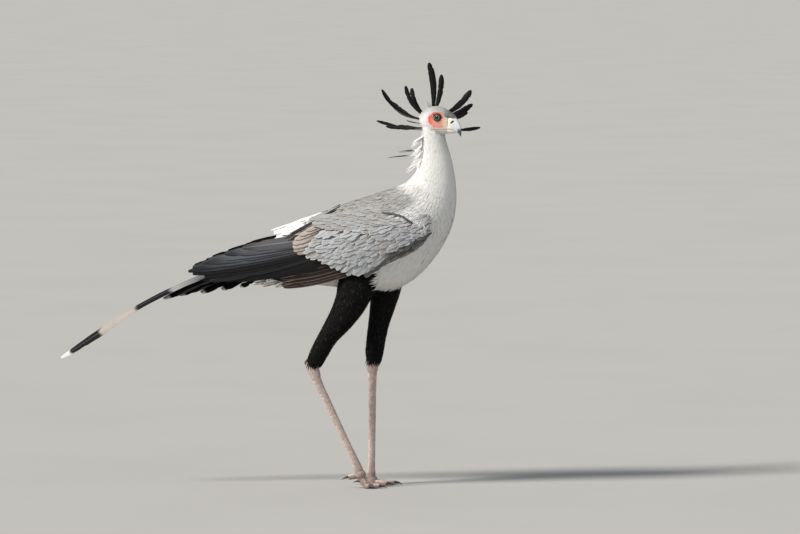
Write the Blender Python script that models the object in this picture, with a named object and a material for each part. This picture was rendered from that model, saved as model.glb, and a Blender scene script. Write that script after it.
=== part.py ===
"""A life-size secretary bird, walking with its head turned to its right.

Metres, +Z up. The bird faces +X and its left side is +Y. The origin is the middle of the left foot's sole,
on the floor. Every outline below is the outside of the plumage.
"""

import math
import random

import bmesh
import bpy
from mathutils import Matrix, Vector

GAP = 0.0003  # between two nodes that touch
MIDDLE = -0.034  # y of the bird's middle plane, from which all the y values below are counted
SIDES = {"right": -1, "left": 1}

# Trunk and neck: each row is one cross-section, given by its point on the nape or back, its point on the
# throat or belly (x, z each) and its half width.
TRUNK = [
    (0.140, 0.985, 0.196, 0.985, 0.027),
    (0.135, 0.946, 0.203, 0.935, 0.030),
    (0.131, 0.894, 0.218, 0.887, 0.035),
    (0.111, 0.843, 0.230, 0.822, 0.046),
    (0.084, 0.819, 0.232, 0.768, 0.057),
    (0.046, 0.803, 0.224, 0.716, 0.068),
    (0.005, 0.790, 0.203, 0.665, 0.077),
    (-0.038, 0.777, 0.170, 0.614, 0.082),
    (-0.081, 0.763, 0.127, 0.568, 0.081),
    (-0.127, 0.746, 0.078, 0.539, 0.076),
    (-0.168, 0.730, 0.008, 0.532, 0.069),
    (-0.203, 0.711, -0.068, 0.538, 0.059),
    (-0.232, 0.692, -0.143, 0.546, 0.047),
    (-0.262, 0.673, -0.208, 0.557, 0.035),
    (-0.286, 0.657, -0.268, 0.568, 0.024),
    (-0.335, 0.628, -0.325, 0.582, 0.014),
]
NECK_TOP, NECK_BASE, TAIL_BASE = 1.0, 3.5, 14.0  # row numbers at which the trunk is parted

# Head, in its own axes: x from the middle of the skull towards the bill, z up from there.
HEAD_AT = Vector((0.166, 0.0, 0.996))
HEAD_TURN = math.radians(-35)
SKULL = [
    (-0.0335, 0.004, -0.0335, -0.010, 0.007),
    (-0.0300, 0.016, -0.0290, -0.024, 0.020),
    (-0.0150, 0.028, -0.0160, -0.034, 0.0272),
    (0.0020, 0.0325, -0.0010, -0.039, 0.0296),
    (0.0190, 0.0330, 0.0170, -0.0405, 0.0288),
    (0.0340, 0.0295, 0.0340, -0.0408, 0.0254),
    (0.0470, 0.0230, 0.0470, -0.0403, 0.0200),
    (0.0577, 0.0152, 0.0577, -0.0386, 0.0146),
]
UPPER_BILL = [  # ridge, then the middle of its flat underside
    (0.0580, 0.0150, 0.0580, -0.0276, 0.0130),
    (0.0665, 0.0110, 0.0640, -0.0274, 0.0114),
    (0.0765, 0.0030, 0.0710, -0.0280, 0.0092),
    (0.0855, -0.0085, 0.0770, -0.0300, 0.0070),
    (0.0915, -0.0215, 0.0815, -0.0335, 0.0048),
    (0.0938, -0.0335, 0.0862, -0.0385, 0.0030),
    (0.0925, -0.0465, 0.0912, -0.0467, 0.0007),
]
LOWER_BILL = [  # middle of its flat top, then its keel
    (0.0580, -0.0280, 0.0580, -0.0383, 0.0124),
    (0.0660, -0.0279, 0.0660, -0.0382, 0.0102),
    (0.0725, -0.0291, 0.0730, -0.0375, 0.0074),
    (0.0785, -0.0318, 0.0788, -0.0358, 0.0038),
]
EYE_AT = Vector((0.0300, 0.0168, 0.0035))
EYE_RADIUS = 0.0130
EYE_LOOKS = Vector((0.22, 0.97, 0.06))
LID_RADIUS, LID_THICKNESS = 0.0104, 0.0019
NOSTRIL_AT, NOSTRIL_SIZE = Vector((0.0695, 0.0101, -0.0085)), (0.0046, 0.0022, 0.0016)
MOUTH_LEVEL, GAPE_AT, MOUTH_DEPTH, MOUTH_OPENING = -0.0279, 0.0110, 0.0018, 0.0008

# Crest: tip (x, y, z), blade width, bow as a share of the length (positive bends it back towards the tail, and
# negative towards the bill), and how high on the nape it grows, from -1 to 1.
CREST = [
    (0.0290, -0.004, 1.0740, 0.0170, 0.145, 0.10),
    (0.0930, 0.026, 1.0830, 0.0125, 0.110, 0.25),
    (0.1100, 0.050, 1.0760, 0.0130, 0.140, 0.40),
    (0.0150, 0.012, 0.9890, 0.0125, 0.050, -0.85),
    (0.0400, 0.036, 0.9730, 0.0080, 0.020, -0.95),
    (0.0960, -0.040, 0.9920, 0.0050, 0.040, -0.30),
    (0.1560, 0.034, 1.1450, 0.0145, -0.115, 0.30),
    (0.1900, 0.060, 1.1120, 0.0120, -0.090, 0.30),
    (0.2700, 0.080, 1.0690, 0.0165, -0.150, 0.10),
    (0.2740, 0.096, 1.0310, 0.0150, -0.100, -0.05),
    (0.2610, 0.108, 1.0090, 0.0130, -0.080, -0.20),
    (0.2955, 0.086, 0.9680, 0.0125, -0.120, -0.60),
    (0.0560, 0.098, 1.0360, 0.0140, 0.120, 0.05),
    (0.0700, 0.100, 0.9700, 0.0120, 0.030, -0.70),
    (0.1750, 0.140, 0.9950, 0.0120, -0.060, -0.30),
    (0.1600, 0.135, 1.0180, 0.0120, -0.060, 0.00),
    (0.1500, -0.012, 1.0450, 0.0050, 0.040, 0.90),
]
CREST_THICKNESS = 0.0011
NAPE_HEIGHT, NAPE_HALF_WIDTH, NAPE_BACK = (-0.034, 0.024), 0.016, (-0.0215, -0.0115)

# Loose plumes down the nape: root row on the trunk, side of the nape, tip (x, y, z), width.
NAPE_PLUMES = [
    (1.15, -0.3, 0.1080, -0.030, 0.9220, 0.0050),
    (1.35, 0.2, 0.0730, 0.014, 0.9050, 0.0042),
    (1.60, 0.4, 0.0460, 0.024, 0.8890, 0.0040),
    (1.50, -0.5, 0.1170, -0.030, 0.8680, 0.0060),
    (1.55, 0.5, 0.1120, 0.034, 0.8740, 0.0060),
    (2.30, -0.1, 0.0890, -0.006, 0.8520, 0.0050),
]

# Folded wing: s runs back from the bend along the wing, v runs up across it.
WING_BEND = Vector((0.146, 0.0, 0.705))
WING_BACK = Vector((-0.983, 0.0, -0.183))
WING_UP = Vector((-0.183, 0.0, 0.983))
WING_STEP = 0.1
WING_SPREAD = [  # for each step of s: how far the wing stands from the middle, and its curve over the back
    (0.081, 8.0), (0.097, 8.0), (0.102, 7.0), (0.092, 4.0), (0.074, 2.5), (0.058, 2.0), (0.045, 2.0), (0.036, 2.0),
]
WING_ROLL_DOWN, WING_CREST = 1.6, 0.004
WING_CORE = [  # s, lower and upper v, and depth of the fleshy wing under its coverts
    (-0.006, -0.012, 0.008, 0.008),
    (0.012, -0.036, 0.034, 0.024),
    (0.045, -0.056, 0.050, 0.036),
    (0.090, -0.068, 0.060, 0.040),
    (0.140, -0.079, 0.059, 0.044),
    (0.190, -0.084, 0.055, 0.044),
    (0.235, -0.066, 0.050, 0.036),
    (0.280, -0.038, 0.043, 0.028),
    (0.318, -0.010, 0.036, 0.014),
]
WING_EDGE = 0.004
VANE = 0.0008

# Each tier of wing feathers: roots and tips as curves of (s, v), how many, vane width, how far each vane
# stands off the wing at root and tip, the turn that laps it over the next one, and stations along it.
WING_TIERS = {
    "flight": {
        "roots": [(0.150, -0.066), (0.2138, -0.0395), (0.2457, -0.004), (0.266, 0.030)],
        "tips": [(0.399, -0.0885), (0.462, -0.056), (0.557, -0.051), (0.612, -0.026), (0.645, 0.001),
                 (0.573, 0.023), (0.488, 0.036)],
        "count": 13, "width": 0.040, "off": (-0.0085, -0.0040), "lap": 0.20, "stations": 5,
    },
    "greater_coverts": {
        "roots": [(0.105, -0.067), (0.150, -0.050), (0.200, -0.016), (0.235, 0.022)],
        "tips": [(0.187, -0.1005), (0.240, -0.078), (0.288, -0.044), (0.331, -0.0095), (0.352, 0.026)],
        "count": 10, "width": 0.034, "off": (-0.0030, 0.0030), "lap": 0.20, "stations": 4,
    },
    "median_coverts": {
        "roots": [(0.050, -0.049), (0.090, -0.034), (0.140, -0.004), (0.175, 0.026)],
        "tips": [(0.128, -0.082), (0.180, -0.058), (0.226, -0.022), (0.262, 0.014), (0.276, 0.034)],
        "count": 9, "width": 0.031, "off": (-0.0030, 0.0030), "lap": 0.20, "stations": 4,
    },
    "scapulars": {
        "roots": [(0.060, 0.030), (0.090, 0.047)],
        "tips": [(0.232, 0.036), (0.262, 0.052), (0.286, 0.062)],
        "count": 5, "width": 0.030, "off": (-0.0040, 0.0060), "lap": 0.22, "stations": 4,
    },
}

# Tail: six feathers a side, from the long middle one out to the short outer one: tip (x, z), width, roll.
TAIL_ROOT = Vector((-0.272, 0.0, 0.628))
TAIL_FEATHERS = [
    (-0.840, 0.351, 0.028, 26),
    (-0.562, 0.512, 0.034, 34),
    (-0.520, 0.522, 0.035, 38),
    (-0.462, 0.529, 0.036, 40),
    (-0.406, 0.537, 0.036, 43),
    (-0.356, 0.543, 0.034, 46),
]
TAIL_DROP = 0.0031  # each pair lies this far under the one before
TAIL_SAG = 0.043
TAIL_TWIST = 28  # degrees by which the ends of the two long feathers turn on edge

# Coverts over and under the tail: root and tip (x, z), how far apart the outer ones spread, count, width.
UPPER_TAIL_COVERTS = ((-0.135, 0.728), (-0.262, 0.701), 0.030, 5, 0.026)
UNDER_TAIL_COVERTS = ((-0.290, 0.582), (-0.345, 0.555), 0.013, 3, 0.026)

# Legs: each row is x, y, z and the half sizes fore and aft, and sideways, of a level cross-section.
HEEL_LEVEL = 0.3315
THIGHS = {
    "right": [
        (-0.008, -0.046, 0.640, 0.030, 0.020),
        (-0.019, -0.047, 0.600, 0.052, 0.033),
        (-0.035, -0.048, 0.5595, 0.054, 0.036),
        (-0.046, -0.049, 0.519, 0.050, 0.035),
        (-0.065, -0.050, 0.478, 0.046, 0.032),
        (-0.091, -0.051, 0.438, 0.040, 0.028),
        (-0.122, -0.052, 0.397, 0.0310, 0.0235),
        (-0.141, -0.052, 0.362, 0.0280, 0.0210),
        (-0.1535, -0.052, HEEL_LEVEL, 0.0225, 0.0180),
    ],
    "left": [
        (0.043, 0.046, 0.640, 0.026, 0.020),
        (0.043, 0.047, 0.600, 0.044, 0.033),
        (0.042, 0.046, 0.5595, 0.046, 0.035),
        (0.038, 0.045, 0.519, 0.041, 0.033),
        (0.030, 0.044, 0.478, 0.0350, 0.030),
        (0.021, 0.043, 0.438, 0.0300, 0.027),
        (0.0135, 0.042, 0.397, 0.0275, 0.0235),
        (0.009, 0.041, 0.362, 0.0262, 0.0215),
        (0.008, 0.040, HEEL_LEVEL, 0.0200, 0.0185),
    ],
}
SHANKS = {
    "right": [
        (-0.159, -0.052, HEEL_LEVEL, 0.0165, 0.0105),
        (-0.1530, -0.052, 0.314, 0.0160, 0.0115),
        (-0.1440, -0.052, 0.289, 0.0118, 0.0092),
        (-0.118, -0.0515, 0.235, 0.0100, 0.0075),
        (-0.0676, -0.051, 0.127, 0.0092, 0.0072),
        (-0.0440, -0.050, 0.076, 0.0106, 0.0088),
        (-0.0350, -0.050, 0.054, 0.0118, 0.0105),
    ],
    "left": [
        (0.0035, 0.040, HEEL_LEVEL, 0.0165, 0.0105),
        (0.0030, 0.040, 0.314, 0.0155, 0.0115),
        (0.0032, 0.0395, 0.289, 0.0108, 0.0092),
        (0.0027, 0.037, 0.180, 0.0092, 0.0075),
        (0.0015, 0.035, 0.080, 0.0086, 0.0074),
        (0.0000, 0.034, 0.045, 0.0102, 0.0090),
        (0.0000, 0.034, 0.032, 0.0115, 0.0108),
    ],
}

# Feet: ball of the foot, then the toes as (heading in degrees from straight ahead, length, claw length).
BALL_RADIUS = 0.0140
TOE_RADIUS, TOE_TIP_RADIUS = 0.0085, 0.0062
TOE_START = 0.001  # how far the toes leave the ball below its middle
TOE_FALL = 0.78  # share of its length over which a toe of the lifted foot comes down to the floor
SOLE_SINK = 0.0014  # how much of the round toe is flattened against the floor
PAD_SHIFT = Vector((0.0029, -0.0007, 0))  # keeps the frame's origin inside one flat face of the sole
TOES = {
    "inner": (24, 0.047, 0.021),
    "middle": (0, 0.064, 0.021),
    "outer": (-30, 0.050, 0.018),
    "hind": (172, 0.030, 0.020),
}
FEET = {  # ball of the foot, its heading, and how far it is lifted
    "right": {"ball": Vector((-0.031, -0.050, 0.036)), "heading": -4, "lifted": True},
    "left": {"ball": Vector((0.000, 0.034, 0.0125)), "heading": 3, "lifted": False},
}

PAINTS = {  # base colour, roughness
    "white_plumage": ((0.78, 0.76, 0.72), 0.85),
    "grey_plumage": ((0.42, 0.43, 0.45), 0.80),
    "black_plumage": ((0.030, 0.028, 0.028), 0.75),
    "tail_grey": ((0.30, 0.29, 0.28), 0.75),
    "horn": ((0.62, 0.66, 0.66), 0.45),
    "claw": ((0.050, 0.045, 0.042), 0.45),
    "leg_skin": ((0.60, 0.47, 0.44), 0.65),
    "eye": ((0.10, 0.09, 0.06), 0.10),
}


def clear_scene():
    for obj in list(bpy.data.objects):
        bpy.data.objects.remove(obj)


def smooth(rows, at):
    """The row at number at, where at need not be whole, on a smooth curve through all the rows."""
    last = len(rows) - 1
    i = min(int(max(at, 0)), last - 1)
    f = at - i
    a, b, c, d = (rows[max(0, min(last, k))] for k in (i - 1, i, i + 1, i + 2))
    return [
        0.5 * (2 * q + (r - p) * f + (2 * p - 5 * q + 4 * r - s) * f * f + (3 * q - p - 3 * r + s) * f ** 3)
        for p, q, r, s in zip(a, b, c, d)
    ]


def paint(name):
    """The material of that name, made once."""
    found = bpy.data.materials.get(name)
    if found:
        return found
    colour, roughness = PAINTS[name]
    made = bpy.data.materials.new(name)
    made.use_nodes = True
    shader = made.node_tree.nodes["Principled BSDF"]
    shader.inputs["Base Color"].default_value = (*colour, 1)
    shader.inputs["Roughness"].default_value = roughness
    shader.inputs["Metallic"].default_value = 0.0
    return made


def closed_mesh(name, points, faces):
    """A mesh of these points and faces, with its faces turned outwards."""
    mesh = bpy.data.meshes.new(name)
    mesh.from_pydata([tuple(p) for p in points], [], faces)
    bm = bmesh.new()
    bm.from_mesh(mesh)
    bmesh.ops.recalc_face_normals(bm, faces=bm.faces)
    bm.to_mesh(mesh)
    bm.free()
    return mesh


def loft(name, rings):
    """A closed skin over rings of equally many points, its two ends filled flat."""
    count = len(rings[0])
    points = [p for ring in rings for p in ring]
    faces = []
    for i in range(len(rings) - 1):
        a, b = i * count, (i + 1) * count
        for k in range(count):
            n = (k + 1) % count
            faces.append((a + k, a + n, b + n, b + k))
    faces.append(tuple(range(count)))
    faces.append(tuple(range(len(points) - count, len(points))))
    return closed_mesh(name, points, faces)


def oval(centre, along, across, count, power=2.0):
    """A ring of points: an ellipse at power 2, squarer above it."""
    ring = []
    for k in range(count):
        turn = 2 * math.pi * k / count
        c, s = math.cos(turn), math.sin(turn)
        u = math.copysign(abs(c) ** (2 / power), c)
        w = math.copysign(abs(s) ** (2 / power), s)
        ring.append(centre + along * u + across * w)
    return ring


def profile_ring(row, count, power=2.0, grow=0.0):
    """The oval of one row of a profile: upper point, lower point and half width."""
    top, low = Vector((row[0], 0, row[1])), Vector((row[2], 0, row[3]))
    along = (top - low) / 2
    along += along.normalized() * grow
    return oval((top + low) / 2, along, Vector((0, row[4] + grow, 0)), count, power)


def arch_ring(row, count, flat_top):
    """An arch of the row's height that stands on, or hangs from, a straight base of twice its half width."""
    top, low = Vector((row[0], 0, row[1])), Vector((row[2], 0, row[3]))
    base, rise = (top, low - top) if flat_top else (low, top - low)
    ring = []
    for k in range(count):
        turn = math.pi * k / (count - 1)
        wide = math.copysign(abs(math.cos(turn)) ** 0.8, math.cos(turn))
        ring.append(base + rise * max(0.0, math.sin(turn)) ** 0.85 + Vector((0, row[4] * wide, 0)))
    return ring


def arch_loft(name, rows, stations, count, flat_top=False):
    """A loft of arches over all the rows."""
    spots = [(len(rows) - 1) * i / (stations - 1) for i in range(stations)]
    return loft(name, [arch_ring(smooth(rows, at), count, flat_top) for at in spots])


def profile_loft(name, rows, start, end, stations, count, power=2.0, grow=0.0):
    """A loft over the rows from number start to number end."""
    spots = [start + (end - start) * i / (stations - 1) for i in range(stations)]
    return loft(name, [profile_ring(smooth(rows, at), count, power, grow) for at in spots])


def vane(name, spine, thickness):
    """A feather's blade. Each station of the spine is (middle, side, face, half width, cup), and both faces
    of the blade are split into the same triangles."""
    columns = (-1, 1) if all(station[4] == 0 for station in spine) else (-1, 0, 1)
    wide = len(columns)
    points = []
    for middle, side, face, half, cup in spine:
        for up in (0.5, -0.5):
            for c in columns:
                points.append(middle + side * half * c + face * (cup * (1 - c * c) + up * thickness))
    faces = []
    row = 2 * wide
    for i in range(len(spine) - 1):
        a, b = i * row, (i + 1) * row
        for c in range(wide - 1):
            for under in (0, wide):
                k = under + c
                faces += [(a + k, a + k + 1, b + k + 1), (a + k, b + k + 1, b + k)]
        for k in (0, wide - 1):
            faces += [(a + k, b + k, b + k + wide), (a + k, b + k + wide, a + k + wide)]
    for a in (0, (len(spine) - 1) * row):
        for c in range(wide - 1):
            faces += [(a + c, a + c + 1, a + wide + c + 1), (a + c, a + wide + c + 1, a + wide + c)]
    return closed_mesh(name, points, faces)


def blade_width(share, root=0.30, tip=0.34):
    """How wide a feather is at that share of its length, from 0 to 1."""
    if share < 0.45:
        return root + (1 - root) * math.sin(math.pi / 2 * share / 0.45)
    fall = (share - 0.45) / 0.55
    return tip + (1 - tip) * math.sqrt(max(0.0, 1 - fall ** 3.2))


def spoon_width(share):
    """The outline of a crest plume: a narrow stalk that widens into a round-ended blade."""
    stalk = 0.34 + 0.66 * (math.sin(math.pi / 2 * min(1.0, share / 0.72)) ** 2)
    return stalk * math.sqrt(max(0.0, 1 - max(0.0, (share - 0.80) / 0.215) ** 2))


def curved_blade(name, root, tip, bow, face, width, thickness, stations, shape=blade_width, cup=0.0):
    """A feather from root to tip, bowed by the vector bow at its middle, its broad side towards face."""
    spine = []
    for i in range(stations + 1):
        share = i / stations
        middle = root.lerp(tip, share) + bow * (4 * share * (1 - share))
        ahead = (tip - root + bow * (4 - 8 * share)).normalized()
        side = ahead.cross(face).normalized()
        half = max(width / 2 * shape(share), 0.0007)
        spine.append((middle, side, side.cross(ahead), half, cup * half))
    return vane(name, spine, thickness)


def finished(name, mesh, material, join=(), cut=()):
    """The node: its mesh joined with some, then cut by others, keeping its largest closed surface."""
    node = bpy.data.objects.new(name, mesh)
    bpy.context.scene.collection.objects.link(node)
    for meshes, operation in ((join, "UNION"), (cut, "DIFFERENCE")):
        if not meshes:
            continue
        helpers = bpy.data.collections.new(name + "_helpers")
        bpy.context.scene.collection.children.link(helpers)
        for other in meshes:
            helpers.objects.link(bpy.data.objects.new(other.name, other))
        modifier = node.modifiers.new(operation, "BOOLEAN")
        modifier.operation = operation
        modifier.operand_type = "COLLECTION"
        modifier.collection = helpers
        modifier.solver = "MANIFOLD"
        bpy.context.view_layer.update()
        graph = bpy.context.evaluated_depsgraph_get()
        result = bpy.data.meshes.new_from_object(node.evaluated_get(graph))
        node.modifiers.clear()
        node.data = result
        for helper in list(helpers.objects):
            bpy.data.objects.remove(helper)
        bpy.data.collections.remove(helpers)
    keep_largest(node.data)
    node.data.materials.clear()
    node.data.materials.append(paint(material))
    node.data.shade_smooth()
    node.data.set_sharp_from_angle(angle=math.radians(40))
    node.location.y = MIDDLE
    return node


def keep_largest(mesh):
    """Drops every closed surface of the mesh but the largest."""
    bm = bmesh.new()
    bm.from_mesh(mesh)
    left = set(bm.verts)
    pieces = []
    while left:
        piece, front = set(), [left.pop()]
        while front:
            vert = front.pop()
            piece.add(vert)
            for edge in vert.link_edges:
                other = edge.other_vert(vert)
                if other in left:
                    left.discard(other)
                    front.append(other)
        pieces.append(piece)
    pieces.sort(key=lambda piece: (-size_of(piece), min(v.index for v in piece)))
    for piece in pieces[1:]:
        bmesh.ops.delete(bm, geom=list(piece), context="VERTS")
    bm.to_mesh(mesh)
    bm.free()


def size_of(piece):
    """The diagonal of the box round some vertices."""
    low = [min(v.co[k] for v in piece) for k in range(3)]
    high = [max(v.co[k] for v in piece) for k in range(3)]
    return math.dist(low, high)


def placed(mesh, matrix):
    mesh.transform(matrix)
    return mesh


def head_matrix():
    return Matrix.Translation(HEAD_AT) @ Matrix.Rotation(HEAD_TURN, 4, "Z")


def trunk_point(at, height, side=0.0):
    """A point of the trunk's surface at row number at: height from -1 (belly) to 1 (back), on the given side."""
    row = smooth(TRUNK, at)
    top, low = Vector((row[0], 0, row[1])), Vector((row[2], 0, row[3]))
    out = math.sqrt(max(0.0, 1 - height * height))
    return (top + low) / 2 + (top - low) / 2 * height + Vector((0, side * row[4] * out, 0))


def torso_mesh(grow=0.0):
    return profile_loft("torso", TRUNK, NECK_BASE + GAP * 30, TAIL_BASE - GAP * 30, 18, 24, 2.15, grow)


def tail_coverts(row, up):
    """The row of short feathers that lies over (up is 1) or under (up is -1) the root of the tail."""
    root, tip, spread, count, width = row
    coverts = []
    for i in range(count):
        across = 2 * i / (count - 1) - 1
        drop = -up * (0.016 * across * across + 0.0016 * (i % 2))
        start = Vector((root[0], spread * 0.5 * across, root[1] + drop))
        end = Vector((tip[0] + 0.012 * abs(across), spread * across, tip[1] + drop))
        face = Vector((0.15, across * 0.75, up))
        bow = Vector((0, 0, 0.006 * up))
        coverts.append(curved_blade("tail_covert", start, end, bow, face, width, VANE, 4))
    return coverts


def build_torso():
    finished("torso", torso_mesh(), "white_plumage", tail_coverts(UPPER_TAIL_COVERTS, 1), [tail_space()])


def build_neck():
    body = profile_loft("neck", TRUNK, NECK_TOP + GAP * 15, NECK_BASE - GAP * 30, 10, 20, 2.05)
    plumes = []
    for i, (at, side, x, y, z, width) in enumerate(NAPE_PLUMES):
        surface = trunk_point(at, math.cos(side * 0.9), math.copysign(1, side))
        inside = trunk_point(at, 0.0)
        root = surface.lerp(inside, 0.22)
        tip = Vector((x, y, z))
        face = Vector((-0.2, 0.6, 0.8))
        bow = Vector((0, 0, 0.004))
        plumes.append(curved_blade(f"nape_plume_{i}", root, tip, bow, face, width, VANE, 5))
    return finished("neck", body, "white_plumage", plumes)


def crest_blades():
    """The long plumes. Each grows from the nape, on the side that it points to."""
    place = head_matrix()
    blades = []
    for x, y, z, width, bow, rise in CREST:
        tip = Vector((x, y, z))
        aside = max(-1.0, min(1.0, (place.inverted() @ tip).y / 0.08))
        low, high = NAPE_HEIGHT
        back = NAPE_BACK[1] if rise > 0.8 else NAPE_BACK[0]
        out = NAPE_HALF_WIDTH * aside * math.sqrt(1 - 0.7 * rise * rise)
        root = place @ Vector((back, out, (low + high) / 2 + (high - low) / 2 * rise))
        way = tip - root
        sideways = Vector((0, 1, 0)).cross(way)
        face = Vector((0.1, -1.0, 0.25)) if abs(aside) < 0.9 else Vector((0.3, -0.5, 0.8))
        blades.append(
            curved_blade("plume", root, tip, sideways * -bow, face, width, CREST_THICKNESS, 7, spoon_width)
        )
    return blades


def lid_ring(side):
    """The two lids as one thick rim round the eye, a little longer than high."""
    centre = Vector((EYE_AT.x, side * EYE_AT.y, EYE_AT.z))
    looks = Vector((EYE_LOOKS.x, side * EYE_LOOKS.y, EYE_LOOKS.z)).normalized()
    ahead = (Vector((1, 0, -0.12)) - looks * looks.dot(Vector((1, 0, -0.12)))).normalized()
    up = looks.cross(ahead) * side
    middle = centre + looks * math.sqrt((EYE_RADIUS + GAP) ** 2 - LID_RADIUS ** 2)
    rings = []
    count = 16
    for k in range(count):
        turn = 2 * math.pi * k / count
        way = ahead * (1.12 * math.cos(turn)) + up * math.sin(turn)
        thick = LID_THICKNESS * (1.0 + 0.25 * math.sin(turn))
        rings.append(oval(middle + way * LID_RADIUS, way.normalized() * thick, looks * thick, 5))
    points = [p for ring in rings for p in ring]
    faces = []
    for k in range(count):
        a, b = k * 5, (k + 1) % count * 5
        for m in range(5):
            n = (m + 1) % 5
            faces.append((a + m, a + n, b + n, b + m))
    return closed_mesh("lids", points, faces)


def ball(name, centre, radii, segments=16, rings=9, turn=None):
    mesh = bpy.data.meshes.new(name)
    bm = bmesh.new()
    bmesh.ops.create_uvsphere(bm, u_segments=segments, v_segments=rings, radius=1)
    bm.to_mesh(mesh)
    bm.free()
    size = Matrix.Diagonal((*radii, 1))
    mesh.transform(Matrix.Translation(centre) @ (turn or Matrix.Identity(4)) @ size)
    return mesh


def skull_side(x, z):
    """How far the side of the skull stands from its middle at that place."""
    at = next(k for k in range(1, len(SKULL)) if SKULL[k][0] >= x or k == len(SKULL) - 1)
    share = (x - SKULL[at - 1][0]) / (SKULL[at][0] - SKULL[at - 1][0])
    _, top, _, low, half = smooth(SKULL, at - 1 + share)
    height = (z - (top + low) / 2) / ((top - low) / 2)
    return half * math.sqrt(max(0.0, 1 - height * height))


def gape_cut(side):
    """The slit of the mouth behind the bill: a thin plate that reaches a little way into the cheek."""
    points = []
    steps = 6
    for i in range(steps + 1):
        x = GAPE_AT + (SKULL[-1][0] + 0.002 - GAPE_AT) * i / steps
        z = MOUTH_LEVEL - 0.0022 * (1 - i / steps) ** 2
        near = skull_side(min(x, SKULL[-1][0]), z) - MOUTH_DEPTH
        for up in (0.5, -0.5):
            for out in (near, near + 0.008):
                points.append(Vector((x, side * out, z + up * MOUTH_OPENING)))
    faces = [(0, 1, 3, 2), tuple(len(points) - 4 + k for k in (0, 1, 3, 2))]
    for i in range(steps):
        a, b = i * 4, i * 4 + 4
        for p, q in ((0, 1), (1, 3), (3, 2), (2, 0)):
            faces.append((a + p, a + q, b + q, b + p))
    return closed_mesh("gape", points, faces)


def build_head():
    place = head_matrix()
    skull = placed(profile_loft("head", SKULL, 0, 7, 15, 24, 2.1), place)
    throat = profile_loft("throat", TRUNK, 0.0, NECK_TOP - GAP * 15, 4, 20, 2.05)
    lids = [placed(lid_ring(side), place) for side in SIDES.values()]
    sockets = [
        placed(ball("socket", Vector((EYE_AT.x, side * EYE_AT.y, EYE_AT.z)), [EYE_RADIUS + GAP] * 3), place)
        for side in SIDES.values()
    ]
    gapes = [placed(gape_cut(side), place) for side in SIDES.values()]
    return finished("head", skull, "white_plumage", [throat, *lids, *crest_blades()], [*sockets, *gapes])


def build_eyes():
    place = head_matrix()
    for word, side in SIDES.items():
        centre = Vector((EYE_AT.x, side * EYE_AT.y, EYE_AT.z))
        finished(f"eye_{word}", placed(ball("eye", centre, [EYE_RADIUS] * 3), place), "eye")


def build_bill():
    place = head_matrix()
    upper = placed(arch_loft("bill_upper", UPPER_BILL, 16, 12), place)
    nostrils = []
    for side in SIDES.values():
        centre = Vector((NOSTRIL_AT.x, side * NOSTRIL_AT.y, NOSTRIL_AT.z))
        slant = Matrix.Rotation(math.radians(-42), 4, "Y")
        nostrils.append(placed(ball("nostril", centre, NOSTRIL_SIZE, 8, 6, slant), place))
    finished("bill_upper", upper, "horn", cut=nostrils)
    lower = placed(arch_loft("bill_lower", LOWER_BILL, 6, 10, True), place)
    finished("bill_lower", lower, "horn")


def wing_surface(s, v, side, out=0.0):
    """A point of the folded wing's outside, raised by out."""
    spread, roll_up = smooth(WING_SPREAD, s / WING_STEP)
    away = v - WING_CREST
    spread -= (roll_up if away > 0 else WING_ROLL_DOWN) * away * away
    return WING_BEND + WING_BACK * s + WING_UP * v + Vector((0, side * (spread + out), 0))


def wing_normal(s, v, side):
    """The way out of the wing at that place."""
    step = 0.002
    along = wing_surface(s + step, v, side) - wing_surface(s - step, v, side)
    across = wing_surface(s, v + step, side) - wing_surface(s, v - step, side)
    out = along.cross(across).normalized()
    return out if out.y * side > 0 else -out


def wing_core(side):
    """The flesh and small coverts of the folded wing, as one lens-shaped shell."""
    rings = []
    for i in range(13):
        s, low, high, depth = smooth(WING_CORE, 8 * i / 12)
        outer, inner = [], []
        for k in range(8):
            w = 2 * k / 7 - 1
            v = (low + high) / 2 + (high - low) / 2 * w
            deep = WING_EDGE + (depth - WING_EDGE) * (1 - w ** 4)
            rim = 0.0035 * w ** 6
            outer.append(wing_surface(s, v, side, -rim))
            inner.append(wing_surface(s, v, side, -deep))
        rings.append(outer + inner[::-1])
    return loft("wing", rings)


def wing_vane(tier, share, side, draw):
    """One feather of a tier: share runs from 0 for its lowest feather to 1 for its highest."""
    s0, v0 = smooth(tier["roots"], share * (len(tier["roots"]) - 1))
    s1, v1 = smooth(tier["tips"], share * (len(tier["tips"]) - 1))
    s1 += draw.uniform(-0.004, 0.004)
    width = tier["width"] * draw.uniform(0.94, 1.04)
    low, high = tier["off"]
    spine = []
    for i in range(tier["stations"] + 1):
        u = i / tier["stations"]
        s, v = s0 + (s1 - s0) * u, v0 + (v1 - v0) * u
        step = 0.01
        middle = wing_surface(s, v, side, low + (high - low) * u)
        ahead = (wing_surface(s + (s1 - s0) * step, v + (v1 - v0) * step, side) - wing_surface(s, v, side))
        out = wing_normal(s, v, side)
        ahead = (ahead - out * ahead.dot(out)).normalized()
        across = out.cross(ahead)
        if across.z > 0:
            across = -across
        across = (across + out * tier["lap"]).normalized()
        face = across.cross(ahead).normalized()
        spine.append((middle, across, face, width / 2 * blade_width(u), 0.0))
    return vane("wing_vane", spine, VANE)


def build_wing(word, side):
    draw = random.Random(7 if side > 0 else 11)
    vanes = []
    for tier in WING_TIERS.values():
        for i in range(tier["count"]):
            vanes.append(wing_vane(tier, i / (tier["count"] - 1), side, draw))
    spaces = [torso_mesh(GAP), thigh_mesh(word, GAP)]
    return finished(f"wing_{word}", wing_core(side), "grey_plumage", vanes, spaces)


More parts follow.
